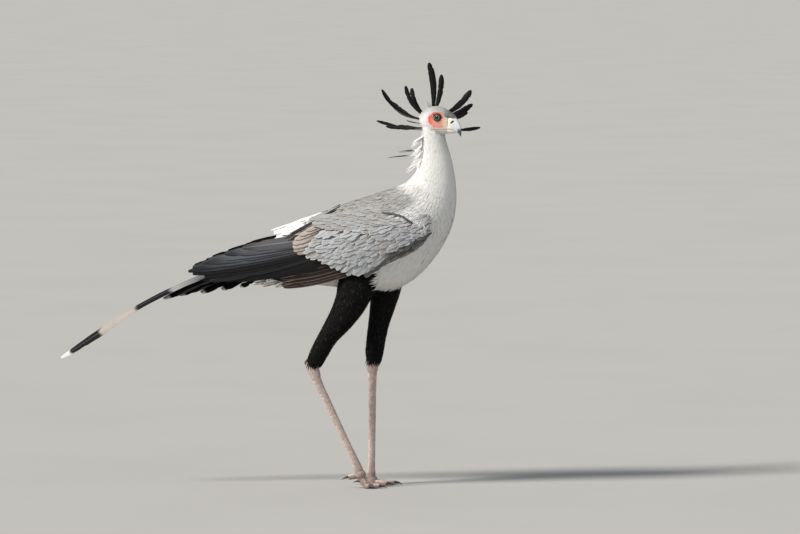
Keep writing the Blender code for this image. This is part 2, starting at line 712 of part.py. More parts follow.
def tail_height(x):
    """The height of the middle tail feathers at that x."""
    tip_x, tip_z = TAIL_FEATHERS[0][:2]
    u = (x - TAIL_ROOT.x) / (tip_x - TAIL_ROOT.x)
    return TAIL_ROOT.z + (tip_z - TAIL_ROOT.z) * u + TAIL_SAG * 4 * u * (1 - u)


def tail_spot(i, u):
    """The i-th tail feather's line at share u of its length: under the middle one, and ever further under."""
    tip_x, tip_z = TAIL_FEATHERS[i][:2]
    x = TAIL_ROOT.x + (tip_x - TAIL_ROOT.x) * u
    further = tail_height(tip_x) - TAIL_DROP * i - tip_z
    return Vector((x, 0, tail_height(x) - TAIL_DROP * i - further * u * u))


def tail_line(i, u, side):
    """The middle of the i-th tail feather at share u of its length, with its side and face directions."""
    width, roll = TAIL_FEATHERS[i][2:]
    step = 0.01
    ahead = (tail_spot(i, u + step) - tail_spot(i, u - step)).normalized()
    twist = min(1.0, max(0.0, (u - 0.72) / 0.16)) if i == 0 else 0.0
    turn = math.radians(roll + TAIL_TWIST * twist * twist * (3 - 2 * twist))
    up = Vector((0, 1, 0)).cross(ahead).normalized()
    if up.z < 0:
        up = -up
    across = Vector((0, side * math.cos(turn), 0)) - up * math.sin(turn)
    face = (up * math.cos(turn) + Vector((0, side * math.sin(turn), 0))).normalized()
    half = width / 2 * blade_width(u, 0.45)
    inner = 0.0006 + 0.0016 * (1 - u)
    return tail_spot(i, u) + across * (half + inner), across, face, half


def tail_core(grow=0.0):
    return profile_loft("tail", TRUNK, TAIL_BASE + GAP * 15, 15.0, 4, 16, 2.15, grow)


def tail_space():
    """Where the root of the tail goes."""
    return profile_loft("tail_space", TRUNK, TAIL_BASE, 15.0, 4, 16, 2.15, GAP)


def build_tail():
    vanes = []
    for side in SIDES.values():
        for i in range(len(TAIL_FEATHERS)):
            stations = 10 if i == 0 else 5
            spine = []
            for k in range(stations + 1):
                middle, across, face, half = tail_line(i, k / stations, side)
                spine.append((middle, across, face, half, 0.0015 if i == 0 else 0.0))
            vanes.append(vane(f"tail_feather_{i}", spine, VANE))
    vanes += tail_coverts(UNDER_TAIL_COVERTS, -1)
    return finished("tail", tail_core(), "tail_grey", vanes, [torso_space()])


def torso_space():
    """Everything ahead of the face where the tail meets the torso."""
    return profile_loft("torso_space", TRUNK, 6.0, TAIL_BASE, 20, 24, 2.15, GAP)


def level_loft(name, rows, top, end, stations, count, grow=0.0):
    """A loft of level ovals over the rows of a leg, from number top to number end."""
    rings = []
    for i in range(stations):
        x, y, z, fore, wide = smooth(rows, top + (end - top) * i / (stations - 1))
        rings.append(
            oval(Vector((x, y, z)), Vector((fore + grow, 0, 0)), Vector((0, wide + grow, 0)), count, 2.1)
        )
    return loft(name, rings)


def thigh_mesh(word, grow=0.0):
    rows = list(THIGHS[word])
    x, y, z, fore, wide = rows[-1]
    rows[-1] = (x, y, z + GAP / 2, fore, wide)
    return level_loft(f"thigh_{word}", rows, 0, len(rows) - 1, 14, 16, grow)


def build_legs():
    for word, side in SIDES.items():
        finished(f"thigh_{word}", thigh_mesh(word), "black_plumage", cut=[torso_mesh(GAP)])
        rows = list(SHANKS[word])
        x, y, z, fore, wide = rows[0]
        rows[0] = (x, y, z - GAP / 2, fore, wide)
        finished(f"shank_{word}", level_loft("shank", rows, 0, len(rows) - 1, 13, 12), "leg_skin")


def toe_path(foot, heading, length):
    """The middle line of a toe from inside the ball to its claw, and the toe's radius at each point."""
    ball_at, lifted = foot["ball"], foot["lifted"]
    turn = math.radians(heading + foot["heading"])
    way = Vector((math.cos(turn), math.sin(turn), 0))
    hind = abs(heading) > 90
    rest = TOE_TIP_RADIUS - SOLE_SINK
    path = []
    steps = 7
    for i in range(steps + 1):
        u = i / steps
        radius = TOE_RADIUS + (TOE_TIP_RADIUS - TOE_RADIUS) * u
        knuckle = 0.0007 * math.sin(3 * math.pi * u) ** 2
        level = radius - SOLE_SINK
        if lifted and hind:
            spot = ball_at + way * (length * u) + Vector((0, 0, -TOE_START - 0.006 * u))
        elif lifted:
            drop = ball_at.z - TOE_START - rest
            fall = min(1.0, u / TOE_FALL)
            flat = math.sqrt(max(0.0, (length * TOE_FALL) ** 2 - drop ** 2))
            reach = flat * fall + max(0.0, u - TOE_FALL) * length
            soft = fall * fall * (3 - 2 * fall) * 0.35 + fall * 0.65
            spot = ball_at + way * reach + Vector((0, 0, -TOE_START - drop * soft))
            spot.z = max(spot.z, level)
        else:
            start = ball_at.z - TOE_START
            soft = min(1.0, u / 0.30)
            spot = ball_at + way * (length * u)
            spot.z = start + (level - start) * soft * soft * (3 - 2 * soft)
            if hind:
                spot.z += 0.0030 * u
        path.append((spot, radius + knuckle))
    return path


def tube(name, path, count, floor=True):
    """A round bar along a path of (point, radius), flattened where it meets the floor. Its end is square."""
    rings = []
    for i, (spot, radius) in enumerate(path):
        before, after = path[max(0, i - 1)][0], path[min(len(path) - 1, i + 1)][0]
        ahead = (after - before).normalized()
        side = Vector((0, 0, 1)).cross(ahead).normalized()
        up = ahead.cross(side)
        ring = oval(spot, up * radius, side * radius, count)
        rings.append([Vector((p.x, p.y, max(p.z, 0.0))) if floor else p for p in ring])
    return loft(name, rings)


def build_foot(word):
    foot = FEET[word]
    x, y, z, fore, wide = SHANKS[word][-1]
    centre = foot["ball"]
    stub_rows = [
        (x, y, z - GAP, fore, wide),
        (x + (centre.x - x) * 0.5, y, z - (z - centre.z) * 0.55, fore * 1.04, wide * 1.06),
        (centre.x, centre.y, centre.z, fore * 0.9, wide * 0.9),
    ]
    stub = level_loft("stub", stub_rows, 0, 2, 4, 12)
    pad = ball("pad", centre + PAD_SHIFT, (BALL_RADIUS * 1.05, BALL_RADIUS * 0.95, BALL_RADIUS), 14, 8)
    if not foot["lifted"]:
        for vert in pad.vertices:
            vert.co.z = max(vert.co.z, 0.0)
    toes = []
    for number, (toe, (heading, length, claw)) in enumerate(TOES.items()):
        if word == "right" and abs(heading) < 90:
            heading = -heading
        if word == "right" and abs(heading) > 90:
            heading = 360 - heading
        path = toe_path(foot, heading, length)
        toes.append(tube(f"toe_{toe}", path, 10))
        build_claw(f"claw_{word}_{toe}", path, claw)
    finished(f"foot_{word}", stub, "leg_skin", [pad, *toes])


def build_claw(name, toe, length):
    """A curved claw that grows square from the end of its toe."""
    (before, _), (end, radius) = toe[-2], toe[-1]
    ahead = (end - before).normalized()
    up = Vector((0, 0, 1))
    up = (up - ahead * up.dot(ahead)).normalized()
    size = radius * 0.62
    path = [(end + ahead * GAP + up * 0.0018, size)]
    steps = 4
    for i in range(steps + 1):
        u = i / steps
        bend = math.radians(34) * u
        reach = GAP + 0.001 + length * math.sin(bend) / math.radians(34)
        drop = length * (1 - math.cos(bend)) / math.radians(34)
        spot = end + ahead * reach + up * (0.0018 - drop + 0.0012 * u)
        narrow = max(size * (1 - u) ** 0.75, 0.0006)
        spot.z = max(spot.z, narrow + 0.0006)
        path.append((spot, narrow))
    finished(name, tube(name, path, 8, floor=False), "claw")


def main():
    clear_scene()
    build_torso()
    build_neck()
    build_head()
    build_eyes()
    build_bill()
    for word, side in SIDES.items():
        build_wing(word, side)
    build_tail()
    build_legs()
    for word in SIDES:
        build_foot(word)


main()
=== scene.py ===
"""Secretary bird: the finish of the life-size model, built round its packed frame.

Every shape is worked out from the named sizes below, in metres, with +Z up. The bird faces +X, its left side is
+Y and its middle plane lies at y = MIDDLE, from which the y values below are counted.
"""

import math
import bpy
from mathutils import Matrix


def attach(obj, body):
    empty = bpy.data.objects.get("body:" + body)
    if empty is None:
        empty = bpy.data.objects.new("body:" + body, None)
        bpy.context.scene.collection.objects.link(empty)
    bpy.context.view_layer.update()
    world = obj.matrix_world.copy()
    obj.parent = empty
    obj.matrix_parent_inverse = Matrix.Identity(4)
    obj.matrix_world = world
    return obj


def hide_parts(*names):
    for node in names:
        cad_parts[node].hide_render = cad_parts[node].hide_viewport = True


bl_info = {
    "name": "Secretary Bird",
    "version": (1, 0, 0),
    "blender": (4, 5, 0),
    "location": "View3D > Sidebar > Secretary Bird",
    "description": "Skin, plumage, bill, eyes, legs and stage of a life-size secretary bird",
    "category": "Add Mesh",
}

import bmesh
import bpy
import numpy as np
from mathutils import Vector
from mathutils.bvhtree import BVHTree
from mathutils.kdtree import KDTree

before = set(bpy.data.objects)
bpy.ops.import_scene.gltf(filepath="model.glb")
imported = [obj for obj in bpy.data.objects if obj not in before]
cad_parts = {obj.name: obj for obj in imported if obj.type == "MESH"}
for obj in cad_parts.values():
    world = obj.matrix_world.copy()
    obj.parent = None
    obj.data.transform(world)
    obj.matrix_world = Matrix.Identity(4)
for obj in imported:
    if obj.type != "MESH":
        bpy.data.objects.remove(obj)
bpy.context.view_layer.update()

MIDDLE = -0.034
TO_MIDDLE = np.array((0, MIDDLE, 0))
SIDES = {"right": -1, "left": 1}

# Trunk and neck, from under the head to the root of the tail: x and z on the nape or back, x and z on the
# throat or belly, and the half width.
TRUNK = [
    (0.140, 0.985, 0.196, 0.985, 0.027),
    (0.135, 0.946, 0.203, 0.935, 0.030),
    (0.131, 0.894, 0.218, 0.887, 0.035),
    (0.111, 0.843, 0.230, 0.822, 0.046),
    (0.084, 0.819, 0.232, 0.768, 0.057),
    (0.046, 0.803, 0.224, 0.716, 0.068),
    (0.005, 0.790, 0.203, 0.665, 0.077),
    (-0.038, 0.777, 0.170, 0.614, 0.082),
    (-0.081, 0.763, 0.127, 0.568, 0.081),
    (-0.127, 0.746, 0.078, 0.539, 0.076),
    (-0.168, 0.730, 0.008, 0.532, 0.069),
    (-0.203, 0.711, -0.068, 0.538, 0.059),
    (-0.232, 0.692, -0.143, 0.546, 0.047),
    (-0.262, 0.673, -0.208, 0.557, 0.035),
    (-0.286, 0.657, -0.268, 0.568, 0.024),
    (-0.335, 0.628, -0.325, 0.582, 0.014),
]

# Head, in its own axes: x from the middle of the skull towards the bill, z up from there.
HEAD_AT = np.array(Vector((0.166, 0.0, 0.996)))
HEAD_TURN = math.radians(-35)
SKULL = [
    (-0.0335, 0.004, -0.0335, -0.010, 0.007),
    (-0.0300, 0.016, -0.0290, -0.024, 0.020),
    (-0.0150, 0.028, -0.0160, -0.034, 0.0272),
    (0.0020, 0.0325, -0.0010, -0.039, 0.0296),
    (0.0190, 0.0330, 0.0170, -0.0405, 0.0288),
    (0.0340, 0.0295, 0.0340, -0.0408, 0.0254),
    (0.0470, 0.0230, 0.0470, -0.0403, 0.0200),
    (0.0577, 0.0152, 0.0577, -0.0386, 0.0146),
]
UPPER_BILL = [
    (0.0562, 0.0150, 0.0562, -0.0276, 0.0132),
    (0.0665, 0.0110, 0.0640, -0.0274, 0.0114),
    (0.0765, 0.0030, 0.0710, -0.0280, 0.0092),
    (0.0855, -0.0085, 0.0770, -0.0300, 0.0070),
    (0.0915, -0.0215, 0.0815, -0.0335, 0.0048),
    (0.0938, -0.0335, 0.0862, -0.0385, 0.0030),
    (0.0925, -0.0465, 0.0912, -0.0467, 0.0007),
]
LOWER_BILL = [
    (0.0562, -0.0280, 0.0562, -0.0383, 0.0126),
    (0.0660, -0.0279, 0.0660, -0.0382, 0.0102),
    (0.0725, -0.0291, 0.0730, -0.0375, 0.0074),
    (0.0785, -0.0318, 0.0788, -0.0358, 0.0038),
]
FOREHEAD = [  # the feathered wedge over the base of the bill
    (0.0440, 0.0225, 0.0440, 0.0020, 0.0185),
    (0.0577, 0.0162, 0.0577, 0.0030, 0.0142),
    (0.0665, 0.0122, 0.0660, 0.0020, 0.0108),
    (0.0735, 0.0068, 0.0725, 0.0005, 0.0076),
    (0.0772, 0.0030, 0.0765, -0.0008, 0.0036),
]
EYE_AT = (0.0300, 0.0168, 0.0035)
EYE_LOOKS = (0.22, 0.97, 0.06)
EYE_RADIUS, LID_RADIUS, LID_STRETCH = 0.0130, 0.0104, 1.13
FACE_AT, FACE_HALF = (0.0310, -0.0010), (0.0280, 0.0232)  # bare face seen from the side: middle, half sizes
NOSTRIL_AT, NOSTRIL_HALF, NOSTRIL_SLANT = (0.0695, -0.0085), (0.0062, 0.0024), math.radians(44)
MOUTH_LEVEL, GAPE_AT = -0.0276, 0.0060

# Crest: tip (x, y, z), blade width, bow as a share of the length (positive bends it back towards the tail), how high
# on the nape it grows, from -1 to 1, how far forward its root lies, and the width of its stalk as a share.
CREST = [
    (0.0290, -0.004, 1.0740, 0.0200, 0.125, 0.10, 0.000, 0.34),
    (0.0930, 0.026, 1.0830, 0.0130, 0.110, 0.25, 0.004, 0.50),
    (0.1100, 0.050, 1.0760, 0.0135, 0.120, 0.40, -0.002, 0.50),
    (0.0150, 0.012, 0.9890, 0.0165, 0.030, -0.85, 0.000, 0.12),
    (0.0400, 0.036, 0.9730, 0.0105, 0.010, -0.95, 0.000, 0.16),
    (0.0960, -0.040, 0.9920, 0.0055, 0.040, -0.30, 0.000, 0.40),
    (0.1560, 0.034, 1.1450, 0.0190, -0.060, 0.30, 0.013, 0.46),
    (0.1900, 0.060, 1.1120, 0.0160, -0.060, 0.30, 0.010, 0.46),
    (0.2700, 0.080, 1.0690, 0.0195, -0.110, 0.10, 0.006, 0.40),
    (0.2740, 0.096, 1.0310, 0.0190, -0.080, -0.05, 0.004, 0.44),
    (0.2610, 0.108, 1.0090, 0.0170, -0.070, -0.20, 0.002, 0.44),
    (0.2955, 0.086, 0.9680, 0.0160, -0.060, -0.60, 0.000, 0.14),
    (0.0560, 0.098, 1.0360, 0.0170, 0.120, 0.05, 0.000, 0.35),
    (0.0700, 0.100, 0.9700, 0.0150, 0.030, -0.70, 0.000, 0.30),
    (0.1750, 0.140, 0.9950, 0.0150, -0.060, -0.30, 0.000, 0.35),
    (0.1600, 0.135, 1.0180, 0.0150, -0.060, 0.00, 0.000, 0.35),
    (0.1500, -0.012, 1.0450, 0.0100, 0.020, 0.90, 0.008, 0.60),
]
NAPE_HEIGHT, NAPE_HALF_WIDTH, NAPE_BACK = (-0.034, 0.024), 0.016, (-0.0215, -0.0115)
SHORT_PLUME = 16  # number of the small pale plume in CREST

# Loose plumes down the nape: root and tip (x, y, z), width, and how white they are to their tips.
NAPE_PLUMES = [
    ((0.150, -0.012, 0.950), (0.108, -0.030, 0.922), 0.0060, 1.0),
    ((0.152, 0.010, 0.944), (0.116, 0.026, 0.925), 0.0055, 1.0),
    ((0.142, 0.004, 0.911), (0.073, 0.014, 0.905), 0.0044, 0.3),
    ((0.138, 0.010, 0.897), (0.046, 0.024, 0.889), 0.0044, 0.3),
    ((0.149, -0.014, 0.910), (0.119, -0.026, 0.868), 0.0055, 1.0),
    ((0.148, 0.014, 0.908), (0.114, 0.030, 0.874), 0.0055, 1.0),
    ((0.146, -0.006, 0.925), (0.114, -0.012, 0.896), 0.0050, 1.0),
    ((0.134, -0.006, 0.882), (0.100, -0.010, 0.857), 0.0050, 1.0),
]

# Folded wing: s runs back from the bend along the wing, v runs up across it.
WING_BEND = np.array((0.146, 0.0, 0.705))
WING_BACK = np.array((-0.983, 0.0, -0.183))
WING_UP = np.array((-0.183, 0.0, 0.983))
WING_STEP = 0.1
WING_SPREAD = [
    (0.081, 8.0), (0.097, 8.0), (0.102, 7.0), (0.092, 4.0), (0.074, 2.5), (0.058, 2.0), (0.045, 2.0), (0.036, 2.0),
]
WING_ROLL_DOWN, WING_CREST, WING_EDGE = 1.6, 0.004, 0.004
WING_CORE = [  # s, lower and upper v, depth
    (-0.006, -0.012, 0.008, 0.008),
    (0.012, -0.036, 0.034, 0.024),
    (0.045, -0.056, 0.050, 0.036),
    (0.090, -0.068, 0.060, 0.040),
    (0.140, -0.079, 0.059, 0.044),
    (0.190, -0.084, 0.055, 0.044),
    (0.235, -0.066, 0.050, 0.036),
    (0.280, -0.038, 0.043, 0.028),
    (0.318, -0.010, 0.036, 0.014),
]
# Flight feathers in three tiers: their tips from the lowest one up.
LOW_TIPS = [(0.399, -0.0885), (0.406, -0.081), (0.4135, -0.0655), (0.405, -0.048), (0.385, -0.030), (0.355, -0.016)]
BLACK_TIPS = [(0.420, -0.066), (0.440, -0.055), (0.458, -0.043), (0.455, -0.032), (0.440, -0.020)]
MIDDLE_TIPS = [(0.3785, 0.005), (0.415, -0.013), (0.453, -0.026), (0.476, -0.036), (0.518, -0.039), (0.557, -0.041)]
UPPER_TIPS = [(0.600, -0.036), (0.628, -0.014), (0.645, 0.001), (0.610, 0.014), (0.573, 0.023), (0.488, 0.036)]
FLIGHT_ROOTS = [(0.150, -0.066), (0.2138, -0.0395), (0.2457, -0.004), (0.266, 0.030)]
COVERT_FRONT = [(0.036, -0.046), (0.014, -0.026), (0.004, -0.004), (0.010, 0.020), (0.034, 0.040)]
COVERT_TIPS = [(0.187, -0.1005), (0.240, -0.078), (0.288, -0.044), (0.331, -0.0095), (0.292, 0.032)]
TERTIAL_TIPS = [(0.350, -0.004), (0.365, 0.006), (0.364, 0.018), (0.352, 0.030), (0.338, 0.042), (0.322, 0.052)]
TOP_EDGE = [((0.215, 0.098), (0.376, 0.040)), ((0.225, 0.090), (0.362, 0.050))]
# Feathers in the flight feathers' black along the fold between the wing's shoulder and the scapulars: mostly painted
# shadow of the scapulars' front edge, partly dark feather bases.
SHOULDER_SHADOW = [((0.030, 0.018), (0.060, 0.046)), ((0.048, 0.039), (0.084, 0.057)), ((0.070, 0.051), (0.108, 0.063))]
SCAPULAR_ROOTS = [(0.052, 0.034), (0.070, 0.050), (0.090, 0.066), (0.110, 0.080)]
SCAPULAR_TIPS = [(0.205, 0.034), (0.270, 0.050), (0.292, 0.064), (0.290, 0.080)]

# Tail: six feathers a side, from the long middle one to the short outer one: tip (x, z), width, roll.
TAIL_ROOT = (-0.272, 0.628)
TAIL_FEATHERS = [
    (-0.840, 0.351, 0.028, 26),
    (-0.562, 0.512, 0.034, 34),
    (-0.520, 0.522, 0.035, 38),
    (-0.462, 0.529, 0.036, 40),
    (-0.406, 0.537, 0.036, 43),
    (-0.356, 0.543, 0.034, 46),
]
TAIL_DROP, TAIL_SAG, TAIL_TWIST = 0.0031, 0.043, 28

# White coverts, in rows: over the tail's root, x and half width, and under it, root and tip (x, z), half width, count.
RUMP_ROWS = [
    (-0.160, 0.036), (-0.178, 0.035), (-0.196, 0.033), (-0.214, 0.031), (-0.232, 0.028), (-0.250, 0.025),
    (-0.266, 0.022),
]
VENT_ROWS = [
    ((-0.190, 0.556), (-0.262, 0.541), 0.020, 7), ((-0.220, 0.560), (-0.295, 0.543), 0.018, 7),
    ((-0.245, 0.564), (-0.322, 0.547), 0.016, 7), ((-0.270, 0.568), (-0.350, 0.552), 0.015, 6),
]

# Legs: x, y, z and the half sizes fore and aft, and sideways, of level cross-sections.
HEEL_LEVEL = 0.3315
THIGHS = {
    "right": [
        (-0.008, -0.046, 0.640, 0.030, 0.020),
        (-0.019, -0.047, 0.600, 0.052, 0.033),
        (-0.035, -0.048, 0.5595, 0.054, 0.036),
        (-0.046, -0.049, 0.519, 0.050, 0.035),
        (-0.065, -0.050, 0.478, 0.046, 0.032),
        (-0.091, -0.051, 0.438, 0.040, 0.028),
        (-0.122, -0.052, 0.397, 0.0310, 0.0235),
        (-0.141, -0.052, 0.362, 0.0280, 0.0210),
        (-0.1535, -0.052, HEEL_LEVEL, 0.0225, 0.0180),
    ],
    "left": [
        (0.043, 0.046, 0.640, 0.026, 0.020),
        (0.043, 0.047, 0.600, 0.044, 0.033),
        (0.042, 0.046, 0.5595, 0.046, 0.035),
        (0.038, 0.045, 0.519, 0.041, 0.033),
        (0.030, 0.044, 0.478, 0.0350, 0.030),
        (0.021, 0.043, 0.438, 0.0300, 0.027),
        (0.0135, 0.042, 0.397, 0.0275, 0.0235),
        (0.009, 0.041, 0.362, 0.0262, 0.0215),
        (0.008, 0.040, HEEL_LEVEL, 0.0200, 0.0185),
    ],
}
SHANKS = {
    "right": [
        (-0.164, -0.052, 0.346, 0.0135, 0.0095),
        (-0.159, -0.052, HEEL_LEVEL, 0.0165, 0.0105),
        (-0.1530, -0.052, 0.314, 0.0160, 0.0115),
        (-0.1440, -0.052, 0.289, 0.0118, 0.0092),
        (-0.118, -0.0515, 0.235, 0.0100, 0.0075),
        (-0.0676, -0.051, 0.127, 0.0092, 0.0072),
        (-0.0440, -0.050, 0.076, 0.0106, 0.0088),
        (-0.0350, -0.050, 0.054, 0.0118, 0.0105),
        (-0.0310, -0.050, 0.036, 0.0110, 0.0100),
    ],
    "left": [
        (0.0040, 0.040, 0.346, 0.0135, 0.0095),
        (0.0035, 0.040, HEEL_LEVEL, 0.0165, 0.0105),
        (0.0030, 0.040, 0.314, 0.0155, 0.0115),
        (0.0032, 0.0395, 0.289, 0.0108, 0.0092),
        (0.0027, 0.037, 0.180, 0.0092, 0.0075),
        (0.0015, 0.035, 0.080, 0.0086, 0.0074),
        (0.0000, 0.034, 0.045, 0.0102, 0.0090),
        (0.0000, 0.034, 0.032, 0.0115, 0.0108),
        (0.0000, 0.034, 0.0130, 0.0110, 0.0100),
    ],
}
BALL_RADIUS = 0.0140
TOE_RADIUS, TOE_TIP_RADIUS, TOE_START, TOE_FALL, SOLE_SINK = 0.0085, 0.0062, 0.001, 0.78, 0.0014
PAD_SHIFT = (0.0029, -0.0007, 0.0)
CLAW_BEND = math.radians(34)
SCUTE_FOOT = {"right": 0.058, "left": 0.040}  # how low the scutes of a shank reach
TOES = {  # heading, length, length of the claw
    "inner": (24, 0.047, 0.021), "middle": (0, 0.064, 0.021), "outer": (-30, 0.050, 0.018), "hind": (172, 0.030, 0.020),
}
FEET = {
    "right": {"ball": (-0.031, -0.050, 0.036), "heading": -4, "lifted": True},
    "left": {"ball": (0.000, 0.034, 0.0125), "heading": 3, "lifted": False},
}

# Cross-sections, coat and vanes
BODY_POWER, LEG_POWER = 2.15, 2.1  # how square the sections are: 2 is an oval
NECK_COAT, COAT_GAIN = 0.0030, 0.0050
SKULL_COAT, THIGH_COAT, WING_COAT = 0.0008, 0.0045, 0.0025
NECK_END, BREAST_END = 3.6, 7.0  # rows of the trunk
PULL_REACH = 0.0026
TRUNK_PART, HEAD_PART, THIGH_PART, WING_PART, SHANK_PART = range(5)
CELL_KEYS = np.array((1, 100003, 1410665421))  # give each cell of space a number of its own
VANE_COLUMNS = np.array((-1.0, -0.62, -0.30, -0.05, 0.05, 0.30, 0.62, 1.0))
PLAIN_COLUMNS = np.array((-1.0, -0.5, 0.0, 0.5, 1.0))
SPLIT_REACH, LEAST_HALF = 0.80, 0.0004
COVERT_CROWDING = 1.30  # above 1, rows of coverts lie closer together towards the wing's front
TUFT_PATCH, TUFT_SWING, TUFT_THICK = 0.003, 0.10, 0.13
TUFT_SHAPES = {2: (0.7, 1.0), 3: (0.6, 1.0, 0.72), 4: (0.55, 1.0, 0.90, 0.55)}
COATS = {  # the pieces of the body coat, with the name of their spacing and their slot
    "coat_head": ("head_spacing", "white_plumage"),
    "coat_neck": ("neck_spacing", "white_plumage"),
    "coat_breast": ("body_spacing", "white_plumage"),
    "coat_belly": ("body_spacing", "white_plumage"),
    "coat_back": ("back_spacing", "grey_plumage"),
    "coat_thighs": ("thigh_spacing", "black_plumage"),
    "coat_shoulders": ("body_spacing", "grey_plumage"),
}
BODY_FINISH = "body plumage"

# Blacks of the eyes, the painted shade inside the nostrils, and the stage
NOSTRIL_SHADE, PUPIL_BLACK, EYE_RIM_BLACK = (0.008, 0.007, 0.007), (0.002, 0.002, 0.002), (0.004, 0.004, 0.004)
SKY_COLOUR = (0.86, 0.92, 1.0)
LIGHTS = [  # name, colour, share of the main light, angle across, and the way towards it
    ("key", (1.0, 0.965, 0.91), 1.0, 12, (-0.69, -0.32, 0.65)),
    ("front", (0.94, 0.97, 1.0), 0.06, 60, (0.2, -0.9, 0.35)),
]
CAMERA_TARGET = (0.078, MIDDLE, 0.5946)


# Curves and surfaces

def row_at(rows, at):
    """Rows read at the numbers at, which need not be whole, on a smooth curve through all of them."""
    rows, at = np.asarray(rows, float), np.asarray(at, float)
    last = len(rows) - 1
    i = np.clip(np.floor(at).astype(int), 0, last - 1)
    f = (at - i)[..., None]
    p, q, r, s = (rows[np.clip(i + k, 0, last)] for k in (-1, 0, 1, 2))
    return 0.5 * (2 * q + (r - p) * f + (2 * p - 5 * q + 4 * r - s) * f * f + (3 * q - p - 3 * r + s) * f ** 3)


def unit(vectors):
    return vectors / np.maximum(np.linalg.norm(vectors, axis=-1, keepdims=True), 1e-9)


def ease(x, low, high):
    """0 below low, 1 above high, and smooth between."""
    x = np.clip((np.asarray(x, float) - low) / (high - low), 0, 1)
    return x * x * (3 - 2 * x)


def bell(x, middle, width):
    """1 at the middle, falling away on both sides of it."""
    return np.exp(-((x - middle) / width) ** 2)


def full_turn(count):
    return np.linspace(0, 2 * np.pi, count, endpoint=False)


def run_along(line):
    """How far along a line each of its points lies."""
    return np.concatenate(((0,), np.cumsum(np.linalg.norm(np.diff(line, axis=0), axis=1))))


def squared(turn, power):
    """Cosine and sine of a turn, squared off for a power above 2."""
    c, s = np.cos(turn), np.sin(turn)
    return np.sign(c) * np.abs(c) ** (2 / power), np.sign(s) * np.abs(s) ** (2 / power)


def outline(rows, at):
    """The top, the bottom and the half width of the cross-sections of a body."""
    top_x, top_z, low_x, low_z, half = np.moveaxis(row_at(rows, at), -1, 0)
    return np.stack((top_x, 0 * top_x, top_z), -1), np.stack((low_x, 0 * low_x, low_z), -1), half


def profile(rows, at, turn, grow=0.0):
    """Points on a lofted body: turn 0 is its top, half a turn its underside, and sides lie between."""
    top, low, half = outline(rows, at)
    c, s = squared(turn, BODY_POWER)
    reach = (top - low) / 2
    reach = reach + unit(reach) * np.asarray(grow)[..., None]
    made = (top + low) / 2 + reach * c[..., None]
    made[..., 1] += (half + grow) * s
    return made


def level_ovals(rows, at, turn, grow=0.0):
    """Points on a leg, whose cross-sections are level ovals."""
    x, y, z, fore, wide = np.moveaxis(row_at(rows, at), -1, 0)
    c, s = squared(turn, LEG_POWER)
    return np.stack((x + (fore + grow) * c, y + (wide + grow) * s, z + 0 * c), -1)


def wing_point(s, v, side, out=0.0):
    """A point of the folded wing's outside, raised by out."""
    spread, roll = np.moveaxis(row_at(WING_SPREAD, np.asarray(s) / WING_STEP), -1, 0)
    away = np.asarray(v) - WING_CREST
    spread = spread - np.where(away > 0, roll, WING_ROLL_DOWN) * away * away
    made = WING_BEND + WING_BACK * np.asarray(s)[..., None] + WING_UP * np.asarray(v)[..., None]
    made[..., 1] += side * (spread + out)
    return made


def wing_out(s, v, side):
    """The way out of the folded wing at that place."""
    step = 0.002
    along = unit(wing_point(s + step, v, side) - wing_point(s - step, v, side))
    across = unit(wing_point(s, v + step, side) - wing_point(s, v - step, side))
    out = unit(np.cross(along, across))
    return out * np.sign(out[..., 1:2] * side)


def wing_core(across):
    """Places s, v on the wing's core and its depth there, from its lower rim at -1 across to its upper one at 1."""
    at = np.linspace(0, len(WING_CORE) - 1, 50)
    s, low, high, depth = np.moveaxis(row_at(WING_CORE, at), -1, 0)
    v = (low + high)[:, None] / 2 + (high - low)[:, None] / 2 * across
    return np.broadcast_to(s[:, None], v.shape), v, depth[:, None]


def head_place(points):
    """Points given in the head's own axes, in the bird's."""
    x, y, z = np.moveaxis(points, -1, 0)
    c, s = math.cos(HEAD_TURN), math.sin(HEAD_TURN)
    return np.stack((x * c - y * s, x * s + y * c, z), -1) + HEAD_AT


def head_local(points):
    """Points of the bird in the head's own axes."""
    x, y, z = np.moveaxis(points - HEAD_AT, -1, 0)
    c, s = math.cos(HEAD_TURN), math.sin(HEAD_TURN)
    return np.stack((x * c + y * s, y * c - x * s, z), -1)


def coat_depth(at):
    """How deep the coat is at that row of the trunk."""
    return NECK_COAT + COAT_GAIN * ease(at, 1.5, 5.0)


def grid_faces(rows, columns):
    """Faces of a tube of points, then those that fill its first and its last ring."""
    faces = []
    for i in range(rows - 1):
        for k in range(columns):
            n = (k + 1) % columns
            faces.append((i * columns + k, i * columns + n, (i + 1) * columns + n, (i + 1) * columns + k))
    return faces + [tuple(range(columns))[::-1], tuple(range((rows - 1) * columns, rows * columns))]


